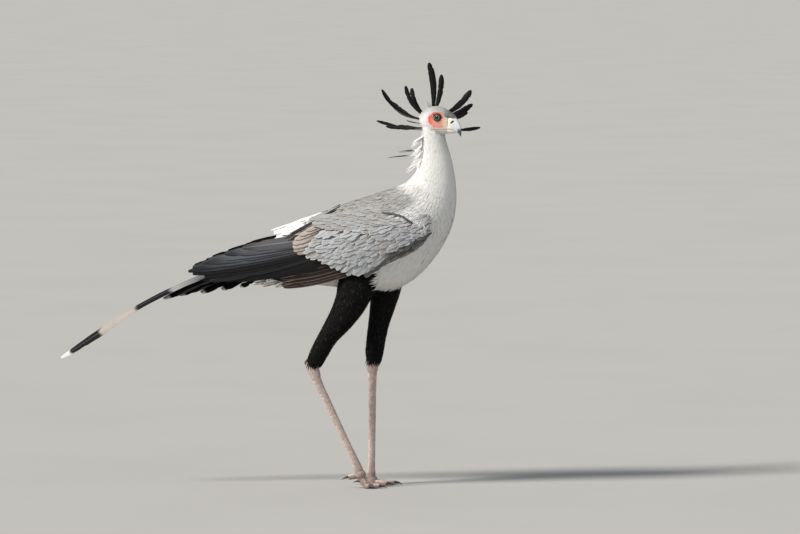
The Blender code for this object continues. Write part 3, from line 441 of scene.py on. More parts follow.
class Heap:
    """Gathers many shapes into one mesh. Each shape's points come as an array, and its faces as a list."""

    def __init__(self):
        self.parts = {"co": [], "loops": [], "sizes": [], "vane": [], "zone": [], "map": []}
        self.total = 0

    def add(self, points, faces, vane=None, zone=None, place=None):
        """Adds a batch of like shapes: points are (shapes, points of a shape, 3), and faces are for one shape."""
        points = np.asarray(points, float)
        if points.ndim == 2:
            points = points[None]
        count, each = points.shape[:2]
        pattern = np.concatenate([np.array(face) for face in faces])
        shift = (np.arange(count) * each + self.total)[:, None]
        self.parts["co"].append(points.reshape(-1, 3))
        self.parts["loops"].append((pattern[None] + shift).ravel())
        self.parts["sizes"].append(np.tile([len(face) for face in faces], count))
        for key, value, width in (("vane", vane, 3), ("zone", zone, 3), ("map", place, 2)):
            value = np.broadcast_to(np.zeros(width) if value is None else value, (count, each, width))
            self.parts[key].append(value.reshape(-1, width))
        self.total += count * each

    def tube(self, points, **more):
        """Adds a tube, given as rings of points."""
        self.add(points.reshape(-1, 3), grid_faces(*points.shape[:2]), **more)

    def mesh(self, name):
        """The mesh, with its vane and zone attributes and its map."""
        whole = {key: np.concatenate(value) for key, value in self.parts.items()}
        mesh = bpy.data.meshes.new(name)
        mesh.vertices.add(len(whole["co"]))
        mesh.vertices.foreach_set("co", (whole["co"] + TO_MIDDLE).astype(np.float32).ravel())
        mesh.loops.add(len(whole["loops"]))
        mesh.loops.foreach_set("vertex_index", whole["loops"].astype(np.int32))
        mesh.polygons.add(len(whole["sizes"]))
        starts = np.concatenate(((0,), np.cumsum(whole["sizes"])[:-1]))
        mesh.polygons.foreach_set("loop_start", starts.astype(np.int32))
        mesh.update(calc_edges=True)
        for key in ("vane", "zone"):
            write_note(mesh, key, whole[key])
        places = whole["map"][whole["loops"]].astype(np.float32)
        mesh.uv_layers.new(name="OFBake").uv.foreach_set("vector", places.ravel())
        mesh.shade_smooth()
        self.sharpen(mesh, whole["vane"])
        return mesh

    @staticmethod
    def sharpen(mesh, vane):
        """Marks the rims of the vanes as sharp."""
        ends = np.empty(len(mesh.edges) * 2, np.int32)
        mesh.edges.foreach_get("vertices", ends)
        ends = ends.reshape(-1, 2)
        rim, tip = np.abs(vane[:, 0]) > 0.95, vane[:, 1] > 0.999
        sharp = (rim[ends] | tip[ends]).all(1) & rim[ends].any(1)
        mesh.attributes.new("sharp_edge", "BOOLEAN", "EDGE").data.foreach_set("value", sharp)


def read_mesh(mesh):
    """Points and normals of a mesh, counted from the bird's middle plane."""
    co, no = (np.empty(len(mesh.vertices) * 3, np.float32) for _ in range(2))
    mesh.vertices.foreach_get("co", co)
    mesh.vertices.foreach_get("normal", no)
    return co.reshape(-1, 3).astype(float) - TO_MIDDLE, no.reshape(-1, 3).astype(float)


def write_points(mesh, points):
    mesh.vertices.foreach_set("co", (points + TO_MIDDLE).astype(np.float32).ravel())
    mesh.update()


def write_note(mesh, name, values):
    """Gives each point of the mesh three numbers under that name."""
    note = mesh.attributes.get(name) or mesh.attributes.new(name, "FLOAT_VECTOR", "POINT")
    note.data.foreach_set("vector", values.astype(np.float32).ravel())


def piece(name, made, material, slot, replaced=(), outwards=True):
    """Puts a heap or a mesh in the scene as one piece of the bird, which rides on its one body."""
    mesh = made.mesh(name) if isinstance(made, Heap) else made
    if outwards:
        bm = bmesh.new()
        bm.from_mesh(mesh)
        bmesh.ops.recalc_face_normals(bm, faces=bm.faces)
        bm.to_mesh(mesh)
        bm.free()
    mesh.materials.append(material)
    obj = bpy.data.objects.new(name, mesh)
    bpy.context.scene.collection.objects.link(obj)
    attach(obj, "root")
    if replaced:
        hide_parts(*replaced)


# Feathers

def strip_faces(stations, columns):
    """Faces of one closed vane: an upper and a lower grid of points, joined round their rims."""
    faces, row = [], 2 * columns
    for i in range(stations - 1):
        a, b = i * row, (i + 1) * row
        for c in range(columns - 1):
            faces.append((a + c, a + c + 1, b + c + 1, b + c))
            k = columns + c
            faces.append((a + k + 1, a + k, b + k, b + k + 1))
        faces.append((a, b, b + columns, a + columns))
        k = columns - 1
        faces.append((b + k, a + k, a + k + columns, b + k + columns))
    for a, turn in ((0, 1), ((stations - 1) * row, -1)):
        for c in range(columns - 1):
            faces.append((a + c, a + columns + c, a + columns + c + 1, a + c + 1)[::turn])
    return faces


def vane_shares(stations):
    """Where along a feather its stations lie, closer together towards its round tip."""
    return 1 - (1 - np.linspace(0, 1, stations)) ** 1.5


def vane_root(u, root, full):
    """A feather's width as it grows from its root up to 1, which it reaches at full."""
    return root + (1 - root) * np.sin(np.pi / 2 * np.clip(u / full, 0, 1))


def vane_tip(u, start, run, blunt):
    """A feather's width as it rounds off from 1 at start to 0 a run further on."""
    return np.sqrt(np.clip(1 - np.clip((u - start) / run, 0, 1) ** blunt, 0, 1))


def round_vane(u):
    """Width along a body or wing feather: narrow at its root, widest past its middle, with a round tip."""
    return vane_root(u, 0.30, 0.5) * vane_tip(u, 0.62, 0.39, 2.4)


def long_vane(u, root=0.35, blunt=3.0):
    """Width along a flight or tail feather, which keeps its breadth and ends in a blunt point."""
    return vane_root(u, root, 0.4) * vane_tip(u, 0.55, 0.46, blunt)


def pointed_vane(u):
    return long_vane(u, blunt=1.7)


def spoon_vane(u, stalk):
    """Width along a crest plume: a narrow stalk that widens into a round-ended blade."""
    grown = stalk + (1 - stalk) * ease(u, 0.55 - stalk, 0.88 - 0.55 * stalk)
    return grown * vane_tip(u, 0.82, 0.185, 2)


def lance_vane(u):
    """Width along a loose, pointed feather."""
    return vane_root(u, 0.5, 0.35) * (1 - np.clip((u - 0.35) / 0.66, 0, 1) ** 1.6)


def ragged_reach(columns, count, stations, draw, ragged, splits):
    """How far, as a share, the points of vanes reach sideways: their edges are ragged and here and there split."""
    fray = 1 - ragged * draw.random((count, stations, 2))
    fray[:, 0] = 1
    split = draw.random((count, 2)) < splits
    station = draw.integers(stations // 2, max(stations - 2, stations // 2 + 1), (count, 2))
    for way in (0, 1):
        rows = np.nonzero(split[:, way])[0]
        fray[rows, station[rows, way], way] *= SPLIT_REACH
    reach = np.where(columns[None, None] < 0, fray[..., :1], fray[..., 1:])
    edge = np.abs(columns)
    return np.where(edge > 0.9, reach, 1 + (reach - 1) * edge ** 2)


def vane_map(columns, share):
    """Where vanes lie on the map: each in a cell of its own, with its upper and its lower face side by side."""
    count, stations = share.shape
    cells = int(math.ceil(math.sqrt(count)))
    number = np.arange(count)[:, None, None, None]
    place = np.empty((count, stations, 2, len(columns), 2))
    for under in (0, 1):
        place[:, :, under, :, 0] = (columns * 0.5 + 0.5) * 0.44 + 0.04 + 0.5 * under
    place[..., 1] = share[:, :, None, None] * 0.92 + 0.04
    place[..., 0] = (place[..., 0] + number % cells) / cells
    place[..., 1] = (place[..., 1] + number // cells) / cells
    return place.reshape(count, -1, 2)


def lay_vanes(heap, middle, across, face, half, tint, draw, columns=VANE_COLUMNS, thickness=0.0005, cup=0.10,
              shaft=0.0004, ragged=0.10, zone=(0.0, 0.0, 0.0), splits=0.5):
    """Adds closed vanes. middle, across and face are (feathers, stations, 3) and half is (feathers, stations)."""
    count, stations = half.shape
    reach = ragged_reach(columns, count, stations, draw, ragged, splits)
    spots = middle[:, :, None] + across[:, :, None] * (half[..., None] * columns * reach)[..., None]
    spots = spots + face[:, :, None] * (cup * half[..., None] * (1 - columns ** 2))[..., None]
    edge = np.abs(columns)
    thick = thickness * (1 - 0.45 * edge ** 2)
    ridge = shaft * (edge < 0.1) * (half / np.maximum(half.max(1, keepdims=True), 1e-6))[..., None] ** 0.5
    upper = spots + face[:, :, None] * (thick / 2 + ridge)[..., None]
    lower = spots - face[:, :, None] * (thick / 2 + 0.6 * ridge)[..., None]
    length = np.linalg.norm(np.diff(middle, axis=1), axis=-1)
    run = np.concatenate((np.zeros((count, 1)), np.cumsum(length, 1)), 1)
    share = run / np.maximum(run[:, -1:], 1e-9)
    vane = np.empty((count, stations, 2, len(columns), 3))
    vane[..., 0] = columns
    vane[..., 1] = share[:, :, None, None]
    vane[..., 2] = tint[:, None, None, None]
    heap.add(np.stack((upper, lower), 2).reshape(count, -1, 3), strip_faces(stations, len(columns)),
             vane.reshape(count, -1, 3), np.asarray(zone, float).reshape(-1, 1, 3), vane_map(columns, share))


def curved_spines(root, tip, bow, face, stations):
    """Spines from roots to tips, bowed at their middles, each with its broad side towards face."""
    u = vane_shares(stations)[None, :, None]
    root, tip, bow, face = (np.asarray(value, float)[:, None] for value in (root, tip, bow, face))
    middle = root + (tip - root) * u + bow * (4 * u * (1 - u))
    ahead = unit(np.gradient(middle, axis=1))
    across = unit(np.cross(ahead, face))
    return middle, across, unit(np.cross(across, ahead))


def tuft_faces(rings):
    """Faces of one tuft: rings of four points and a tip."""
    *sides, root, _ = grid_faces(rings, 4)
    last = (rings - 1) * 4
    return [root, *sides, *((last + k, last + (k + 1) % 4, last + 4) for k in range(4))]


# Skin

def toe_path(foot, heading, length):
    """The middle line of a toe from inside the ball to its claw, and the toe's radius at each point."""
    ball, lifted = np.array(foot["ball"]), foot["lifted"]
    turn = math.radians(heading + foot["heading"])
    way = np.array((math.cos(turn), math.sin(turn), 0))
    hind = math.cos(math.radians(heading)) < -0.5
    spots, radii = [], []
    for u in np.linspace(0, 1, 22):
        radius = TOE_RADIUS + (TOE_TIP_RADIUS - TOE_RADIUS) * u
        level = radius - SOLE_SINK
        if lifted and hind:
            spot = ball + way * (length * u) + (0, 0, -TOE_START - 0.006 * u)
        elif lifted:
            drop = ball[2] - TOE_START - TOE_TIP_RADIUS + SOLE_SINK
            fall = min(1.0, u / TOE_FALL)
            flat = math.sqrt(max(0.0, (length * TOE_FALL) ** 2 - drop ** 2))
            reach = flat * fall + max(0.0, u - TOE_FALL) * length
            soft = fall * fall * (3 - 2 * fall) * 0.35 + fall * 0.65
            spot = ball + way * reach + (0, 0, -TOE_START - drop * soft)
            spot[2] = max(spot[2], level)
        else:
            start = ball[2] - TOE_START
            soft = min(1.0, u / 0.30)
            spot = ball + way * (length * u)
            spot[2] = start + (level - start) * soft * soft * (3 - 2 * soft)
            spot[2] += 0.0030 * u if hind else 0.0
        spots.append(spot)
        radii.append(radius + 0.0008 * math.sin(3 * math.pi * u) ** 2)
    return np.array(spots), np.array(radii)


def toes_of(word):
    """Name, middle line, radii and claw length of each toe of a foot."""
    for toe, (heading, length, claw) in TOES.items():
        turned = -heading if word == "right" else heading
        yield toe, *toe_path(FEET[word], turned, length), claw


def ways_round(line, turn):
    """The ways out of a line at those turns from its top."""
    ahead = unit(np.gradient(line, axis=0))
    side = unit(np.cross((0.0, 0.0, 1.0), ahead))
    up = np.cross(ahead, side)
    return up[:, None] * np.cos(turn)[None, :, None] + side[:, None] * np.sin(turn)[None, :, None]


def bar_points(line, radii, count):
    """Rings of points round a bar along a middle line."""
    return line[:, None] + ways_round(line, full_turn(count)) * radii[:, None, None]


def on_floor(points):
    """The points, flattened where they meet the floor."""
    points[..., 2] = np.maximum(points[..., 2], 0.0)
    return points


def body_forms(forms):
    """Adds the flesh of the bird as closed forms that run into one another."""
    turn = full_turn(72)
    at = np.linspace(-0.4, 15, 170)
    forms.tube(profile(TRUNK, at[:, None], turn[None], -coat_depth(at)[:, None]))
    for word, side in SIDES.items():
        at = np.linspace(0, len(THIGHS[word]) - 1, 60)
        forms.tube(level_ovals(THIGHS[word], at[:, None], turn[None, ::2], -THIGH_COAT))
        across = np.linspace(-1, 1, 30)
        s, v, depth = wing_core(across)
        outer = wing_point(s, v, side, -WING_COAT - 0.0035 * across ** 6)
        inner = wing_point(s, v, side, -(WING_EDGE + (depth - WING_EDGE) * (1 - across ** 4)))
        forms.tube(np.concatenate((outer, inner[:, ::-1]), 1))


def foot_pad(ball, turn):
    """The pad under the toes as a flattened ball."""
    drop = np.linspace(0.02, np.pi - 0.02, 22)[:, None]
    pad = np.stack((np.sin(drop) * np.cos(turn), np.sin(drop) * np.sin(turn), np.cos(drop) + 0 * turn), -1)
    return on_floor(pad * (BALL_RADIUS * 1.05, BALL_RADIUS * 0.95, BALL_RADIUS) + (np.array(ball) + PAD_SHIFT))


def bare_forms(forms):
    """Adds the head, shanks and feet, whose skin lies at the surface."""
    turn = full_turn(72)
    for rows, count, grow in ((SKULL, 90, -SKULL_COAT), (FOREHEAD, 30, 0.0)):
        at = np.linspace(0, len(rows) - 1, count)
        forms.tube(head_place(profile(rows, at[:, None], turn[None], grow)))
    forms.tube(profile(TRUNK, np.linspace(-0.5, 1.6, 30)[:, None], turn[None], -0.0025))
    for word in SIDES:
        at = np.linspace(0, len(SHANKS[word]) - 1, 150)
        forms.tube(level_ovals(SHANKS[word], at[:, None], turn[None, ::2]))
        forms.tube(foot_pad(FEET[word]["ball"], turn[::3]))
        for _, line, radii, _ in toes_of(word):
            forms.tube(on_floor(bar_points(line, radii, 22)))


def head_zone(points):
    local = head_local(points)
    return (local[:, 0] > -0.034) & (np.abs(local[:, 2]) < 0.05) & (np.linalg.norm(local, axis=1) < 0.081)


def face_reach(local):
    """How far inside the bare face a point lies: 1 in its middle, 0 at its rim, negative outside."""
    f, z = local[..., 0] - FACE_AT[0], local[..., 2] - FACE_AT[1]
    wave = 0.03 * np.sin(9 * np.arctan2(z, f) + 1.0) + 0.02 * np.sin(17 * np.arctan2(z, f))
    wide = np.where(f > 0, FACE_HALF[0] * 1.35, FACE_HALF[0])
    z = z + 0.10 * np.maximum(f, 0) + 0.50 * np.maximum(f - 0.012, 0) + 0.0020
    low = np.where(z < 0, 0.80 + 0.39 * ease(f, -0.018, -0.006), 1.0)
    return 1 - np.sqrt((f / wide) ** 2 + (z / (FACE_HALF[1] * low)) ** 2) + wave


def mouth_line(x):
    return MOUTH_LEVEL - 0.0046 * (1 - np.clip((x - GAPE_AT) / (SKULL[-1][0] - GAPE_AT), 0, 1)) ** 4


def mouth_band(local):
    """1 on the pale bare band along the mouth, from the gape to the bill."""
    away = np.abs(local[..., 2] - mouth_line(local[..., 0]) - 0.0012)
    along = ease(local[..., 0], GAPE_AT - 0.002, GAPE_AT + 0.004) * (local[..., 0] < 0.062)
    return ease(away, 0.0042, 0.0022) * along * (np.abs(local[..., 1]) > 0.006)


def face_share(local):
    """1 on bare face, 0 on feathered skin."""
    patch = ease(face_reach(local), -0.02, 0.10) * (np.abs(local[..., 1]) > 0.004)
    patch = patch * ease(local[..., 2] - mouth_line(local[..., 0]), -0.0010, 0.0005)
    return np.maximum(patch, mouth_band(local))


def face_relief(local):
    """How far the skin of the face is raised: brow, folds round the eye, gape and mouth line."""
    x, _, z = np.moveaxis(local, -1, 0)
    eye = np.hypot((x - EYE_AT[0]) / 1.12, z - EYE_AT[2])
    bare = face_share(local)
    turn = np.arctan2(z - EYE_AT[2], x - EYE_AT[0])
    made = 0.0011 * bell(x, 0.031, 0.017) * bell(z, 0.0175, 0.0038)
    made += 0.0008 * bell(eye, 0.0128, 0.0016)
    folds = np.sin(eye * 2 * np.pi / 0.0023 + 1.3 * np.sin(3 * turn) + 0.8 * np.sin(7 * turn + 2))
    made += 0.00018 * folds * bare * ease(eye, 0.0125, 0.0150)
    made += 0.00012 * np.sin(x * 2900 + 3 * np.sin(z * 900)) * np.sin(z * 3100 + 2 * np.sin(x * 800)) * bare
    along = ease(x, GAPE_AT - 0.001, GAPE_AT + 0.004)
    line = z - mouth_line(x)
    made += 0.0007 * along * (bell(line, 0.0021, 0.0012) + 0.7 * bell(line, -0.0021, 0.0013))
    return made - 0.0018 * along * bell(line, 0, 0.0009)


def even_skin(forms):
    """The mesh of one even skin over all the forms."""
    source = bpy.data.objects.new("forms", forms.mesh("forms"))
    bpy.context.scene.collection.objects.link(source)
    remesh = source.modifiers.new("one skin", "REMESH")
    remesh.mode, remesh.voxel_size = "VOXEL", bpy.context.scene.bird_sizes.skin_grain
    soften = source.modifiers.new("soften", "SMOOTH")
    soften.factor, soften.iterations = 0.5, 8
    bpy.context.view_layer.update()
    mesh = bpy.data.meshes.new_from_object(source.evaluated_get(bpy.context.evaluated_depsgraph_get()))
    bpy.data.objects.remove(source)
    return mesh


def refine(mesh):
    """Halves the faces of shanks and feet, and those of the head twice."""
    bm = bmesh.new()
    bm.from_mesh(mesh)
    for _ in range(2):
        inside = head_zone(np.array([v.co for v in bm.verts]) - TO_MIDDLE)
        chosen = [e for e in bm.edges if all(inside[v.index] for v in e.verts)]
        bmesh.ops.subdivide_edges(bm, edges=chosen, cuts=1, use_grid_fill=True)
        bm.verts.index_update()
    low = [e for e in bm.edges if max(v.co.z for v in e.verts) < HEEL_LEVEL + 0.006]
    bmesh.ops.subdivide_edges(bm, edges=low, cuts=1, use_grid_fill=True)
    bm.to_mesh(mesh)
    bm.free()
    mesh.update()


def pull_to(mesh, target, points, chosen):
    """Moves the chosen points of a mesh onto the target where it is near, and evens them out."""
    corners = [tuple(p.vertices) for p in target.polygons]
    tree = BVHTree.FromPolygons([tuple(v.co) for v in target.vertices], corners, epsilon=0.0)
    moved = points.copy()
    for i in chosen:
        place = tree.find_nearest(Vector(points[i] + TO_MIDDLE), PULL_REACH)[0]
        if place is not None:
            moved[i] = np.array(place) - TO_MIDDLE
    write_points(mesh, moved)
    bm = bmesh.new()
    bm.from_mesh(mesh)
    bm.verts.ensure_lookup_table()
    verts = [bm.verts[i] for i in chosen]
    for _ in range(2):
        bmesh.ops.smooth_vert(bm, verts=verts, factor=0.35, use_axis_x=True, use_axis_y=True, use_axis_z=True)
    bm.to_mesh(mesh)
    bm.free()
    mesh.update()


def build_skin_mesh():
    """One skin over body, head, wings and legs, with finer faces on head and feet."""
    whole, bare = Heap(), Heap()
    body_forms(whole)
    for heap in (whole, bare):
        bare_forms(heap)
    mesh = even_skin(whole)
    refine(mesh)
    points, _ = read_mesh(mesh)
    target = bare.mesh("bare forms")
    pull_to(mesh, target, points, np.nonzero(head_zone(points) | (points[:, 2] < HEEL_LEVEL + 0.004))[0])
    bpy.data.meshes.remove(target)
    points, normals = read_mesh(mesh)
    head = np.nonzero(head_zone(points))[0]
    points[head] += normals[head] * face_relief(head_local(points[head]))[:, None]
    write_points(mesh, on_floor(points))
    return mesh


def kd_tree(spots):
    tree = KDTree(len(spots))
    for i, spot in enumerate(spots):
        tree.insert(spot, i)
    tree.balance()
    return tree


class Lie:
    """Tells, anywhere on the skin, which part of the bird it is and which way its feathers lie."""

    def __init__(self):
        self.taken = []
        turn = full_turn(64)
        self.take_loft(TRUNK_PART, profile, TRUNK, np.linspace(0.0, 15, 190), turn, coat_depth)
        self.take_head(turn)
        for word, side in SIDES.items():
            at = np.linspace(0.6, len(THIGHS[word]) - 1, 60)
            self.take_loft(THIGH_PART, level_ovals, THIGHS[word], at, turn[::2], lambda at: THIGH_COAT)
            at = np.linspace(0, len(SHANKS[word]) - 1, 60)
            self.take_bare(level_ovals(SHANKS[word], at[:, None], turn[None, ::4]))
            for _, line, radii, _ in toes_of(word):
                self.take_bare(on_floor(bar_points(line, radii, 8)))
            s, v, _ = wing_core(np.linspace(-0.93, 0.93, 22))
            place = wing_point(s, v, side, -WING_COAT)
            self.take(WING_PART, place, wing_point(s + 0.004, v - 0.0025, side, -WING_COAT) - place, s, v)
        self.spots, self.ways, self.notes = (np.concatenate(values) for values in zip(*self.taken))
        self.tree = kd_tree(self.spots)

    def take(self, part, place, ahead, at, turn):
        note = np.stack((np.full(at.size, part), np.ravel(at), np.ravel(turn)), -1)
        self.taken.append((place.reshape(-1, 3), unit(ahead.reshape(-1, 3)), note))

    def take_loft(self, part, surface, rows, at, turn, depth):
        """A body whose feathers lie along it, from row to row."""
        at, turn = np.meshgrid(at, turn, indexing="ij")
        place = surface(rows, at, turn, -depth(at))
        self.take(part, place, surface(rows, at + 0.03, turn, -depth(at)) - place, at, turn)

    def take_head(self, turn):
        """The head, whose feathers lie back from the bill and down towards the neck."""
        at, turn = np.meshgrid(np.linspace(0.0, 7, 60), turn, indexing="ij")
        local = profile(SKULL, at, turn, -SKULL_COAT)
        dip = np.radians(14 + 62 * ease(-local[..., 0], -0.030, 0.030) + 18 * ease(-local[..., 2], 0.0, 0.035))
        way = np.stack((-np.cos(dip), 0 * dip, -np.sin(dip)), -1)
        place = head_place(local)
        self.take(HEAD_PART, place, head_place(local + way * 0.003) - place, at, turn)

    def take_bare(self, place):
        nothing = np.zeros(place.shape[:2])
        self.take(SHANK_PART, place, 0 * place - (0, 0, 1), nothing, nothing)

    def at(self, points):
        """For each point, the number of the nearest place that is known."""
        return np.array([self.tree.find(point)[1] for point in points])


class Skin:
    """The finished skin, read once: its faces, what part each lies on, and its nearest surface to any point."""

    def __init__(self, mesh):
        mesh.calc_loop_triangles()
        self.points, self.normals = read_mesh(mesh)
        corners = np.empty(len(mesh.loop_triangles) * 3, np.int32)
        mesh.loop_triangles.foreach_get("vertices", corners)
        self.faces = corners.reshape(-1, 3)
        a, b, c = self.corners(slice(None))
        self.areas = np.linalg.norm(np.cross(b - a, c - a), axis=1) / 2
        self.lie = Lie()
        self.known = self.lie.at((a + b + c) / 3)
        self.tree = BVHTree.FromPolygons(self.points.tolist(), self.faces.tolist(), epsilon=0.0)

    def corners(self, chosen):
        return (self.points[self.faces[chosen, k]] for k in range(3))

    def seeds(self, chosen, spacing, draw):
        """Roots spread evenly over the chosen faces, spacing apart, as numbers of faces and points."""
        faces = np.nonzero(chosen)[0]
        areas = self.areas[faces]
        count = int(areas.sum() / spacing ** 2 * 4)
        picked = faces[draw.choice(len(faces), count, p=areas / areas.sum())]
        u, v = draw.random((2, count))
        flip = u + v > 1
        u, v = np.where(flip, 1 - u, u), np.where(flip, 1 - v, v)
        a, b, c = self.corners(picked)
        spots = a + (b - a) * u[:, None] + (c - a) * v[:, None]
        cells = np.floor(spots / (spacing * 0.82)).astype(np.int64)
        _, first = np.unique(cells @ CELL_KEYS, return_index=True)
        first.sort()
        spots, picked = spots[first], picked[first]
        tree = kd_tree(spots)
        keep = np.ones(len(spots), bool)
        for i, spot in enumerate(spots):
            if keep[i]:
                near = [other for _, other, _ in tree.find_range(spot, spacing * 0.62) if other > i]
                keep[near] = False
        return picked[keep], spots[keep]

    def follow(self, points):
        """The nearest places on the skin, with the way out of it there."""
        places, outs = np.empty_like(points), np.empty_like(points)
        for i, point in enumerate(points.reshape(-1, 3)):
            place, _, face, _ = self.tree.find_nearest(Vector(point))
            places.reshape(-1, 3)[i] = place
            outs.reshape(-1, 3)[i] = self.normals[self.faces[face]].sum(0)
        return places, unit(outs)


def tuft_map(notes, vane):
    """Where each tuft's small patch lies on the map: at its root's place on the unwrapped part."""
    made = notes[:, 1:].astype(float)
    low, high = made.min(0), made.max(0)
    centre = 0.01 + 0.98 * (made - low) / np.maximum(high - low, 1e-9)
    patch = np.stack((vane[..., 0] * 0.5, vane[..., 1] - 0.5), -1)
    return np.clip(centre[:, None] + TUFT_PATCH * patch, 0, 1)


def tuft_ways(skin, known, face, spots, draw):
    """The ways in which tufts lie at their roots, with a slight swing."""
    normal = unit(skin.normals[skin.faces[face]].mean(1))
    way = skin.lie.ways[known]
    way = unit(way - normal * (way * normal).sum(-1, keepdims=True))
    wave = np.sin(spots[:, 0] * 61 + 2 * np.sin(spots[:, 2] * 47)) * np.cos(spots[:, 2] * 53 + spots[:, 1] * 71)
    turn = TUFT_SWING * (draw.standard_normal(len(spots)) * 0.8 + wave)
    return unit(way + np.cross(normal, way) * turn[:, None])


def lay_tufts(heap, skin, face, spots, length, width, depth, zone, draw, rings):
    """Adds one closed tuft at each root, laid along the skin the way its feathers lie."""
    count = len(spots)
    known = skin.known[face]
    way = tuft_ways(skin, known, face, spots, draw)
    length = length * draw.uniform(0.82, 1.18, count)
    width = width * draw.uniform(0.85, 1.15, count)
    shares = np.linspace(0, 1, rings + 1)
    places, outs = skin.follow(spots[:, None] + way[:, None] * (length[:, None] * shares)[..., None])
    rise = (0.48 + 0.52 * shares) * depth[:, None] * draw.uniform(0.92, 1.05, count)[:, None]
    rise[:, 0] = -0.0003
    spine = places + outs * rise[..., None]
    across = unit(np.cross(unit(np.gradient(spine, axis=1)), outs))[:, :-1]
    outs, line = outs[:, :-1], spine[:, :-1]
    half = (width[:, None] / 2 * np.array(TUFT_SHAPES[rings]))[..., None]
    tall = half * TUFT_THICK
    ring = np.stack((line - across * half, line + outs * tall, line + across * half, line - outs * tall * 0.6), 2)
    vane = np.empty((count, rings * 4 + 1, 3))
    vane[:, :-1, 0] = np.tile((-1, 0, 1, 0), rings)
    vane[:, :-1, 1] = np.repeat(shares[:-1], 4)
    vane[:, -1] = (0, 1, 0)
    vane[..., 2] = draw.random(count)[:, None]
    points = np.concatenate((ring.reshape(count, -1, 3), spine[:, -1:]), 1)
    heap.add(points, tuft_faces(rings), vane, zone[:, None], tuft_map(skin.lie.notes[known], vane))


def zones_at(points, notes):
    """How grey and how black the plumage is, and 0, at points of the skin."""
    part, at, turn = notes[:, 0], notes[:, 1], notes[:, 2]
    patchy = 0.05 * np.sin(points[:, 0] * 90 + 3 * np.sin(points[:, 2] * 70))
    grey = (part == TRUNK_PART) * ease(np.cos(turn) + patchy, 0.12, 0.50) * ease(at + 3 * patchy, 3.0, 4.6)
    grey = grey * (1 - ease(at, 10.8, 12.2))
    grey = np.where(part == WING_PART, ease(at, 0.004, 0.018), grey)
    black = np.where(part == THIGH_PART, 1.0, 0.0)
    local = head_local(points)
    mottled = 0.5 + 0.5 * np.sin(local[:, 0] * 1900 + 3 * np.sin(local[:, 2] * 1300)) * np.sin(local[:, 1] * 1700)
    crown = ease(local[:, 2] + 0.06 * patchy, 0.006, 0.024) * (0.50 + 0.3 * mottled)
    brow = ease(local[:, 0], 0.034, 0.062) * ease(local[:, 2], -0.006, 0.008)
    head = part == HEAD_PART
    grey = np.where(head, np.maximum(crown, brow), grey)
    black = np.where(head, brow * (0.20 + 0.45 * mottled), black)
    return np.stack((grey, black, 0 * grey), -1)


# Finishes

def on_sockets(operation, swapped=False):
    """A method that does one operation of the Math node on a socket and other values."""
    def method(wire, *others):
        values = (*others, wire) if swapped else (wire, *others)
        numbers = {f"_{i}": value for i, value in enumerate(values)}
        return wire.finish.node("Math", {"operation": operation}, **numbers)

    return method


class Wire:
    """One socket of a material's nodes. Arithmetic on it adds the Math nodes that it needs."""

    __add__ = __radd__ = on_sockets("ADD")
    __sub__, __rsub__ = on_sockets("SUBTRACT"), on_sockets("SUBTRACT", True)
    __mul__ = __rmul__ = on_sockets("MULTIPLY")
    __abs__, sine = on_sockets("ABSOLUTE"), on_sockets("SINE")

    def __init__(self, finish, socket):
        self.finish, self.socket = finish, socket

    def ease(self, low, high, start=0.0, end=1.0):
        """start below low, end above high, and smooth between."""
        settings = {"interpolation_type": "SMOOTHSTEP"}
        return self.finish.node("MapRange", settings, _0=self, _1=low, _2=high, _3=start, _4=end)

    def times(self, x, y, z):
        """A place, stretched along each axis."""
        return self.finish.node("VectorMath", {"operation": "MULTIPLY"}, _0=self, _1=(x, y, z))

    def noise(self, scale, detail=3.0):
        """Cloudy noise over a place."""
        return self.finish.node("TexNoise", Vector=self, Scale=scale, Detail=detail, Roughness=0.55)

    def cells(self, scale, feature="DISTANCE_TO_EDGE"):
        """Cells over a place, told by how far it lies from their edges, or else from their middles."""
        return self.finish.node("TexVoronoi", {"feature": feature}, Vector=self, Scale=scale)


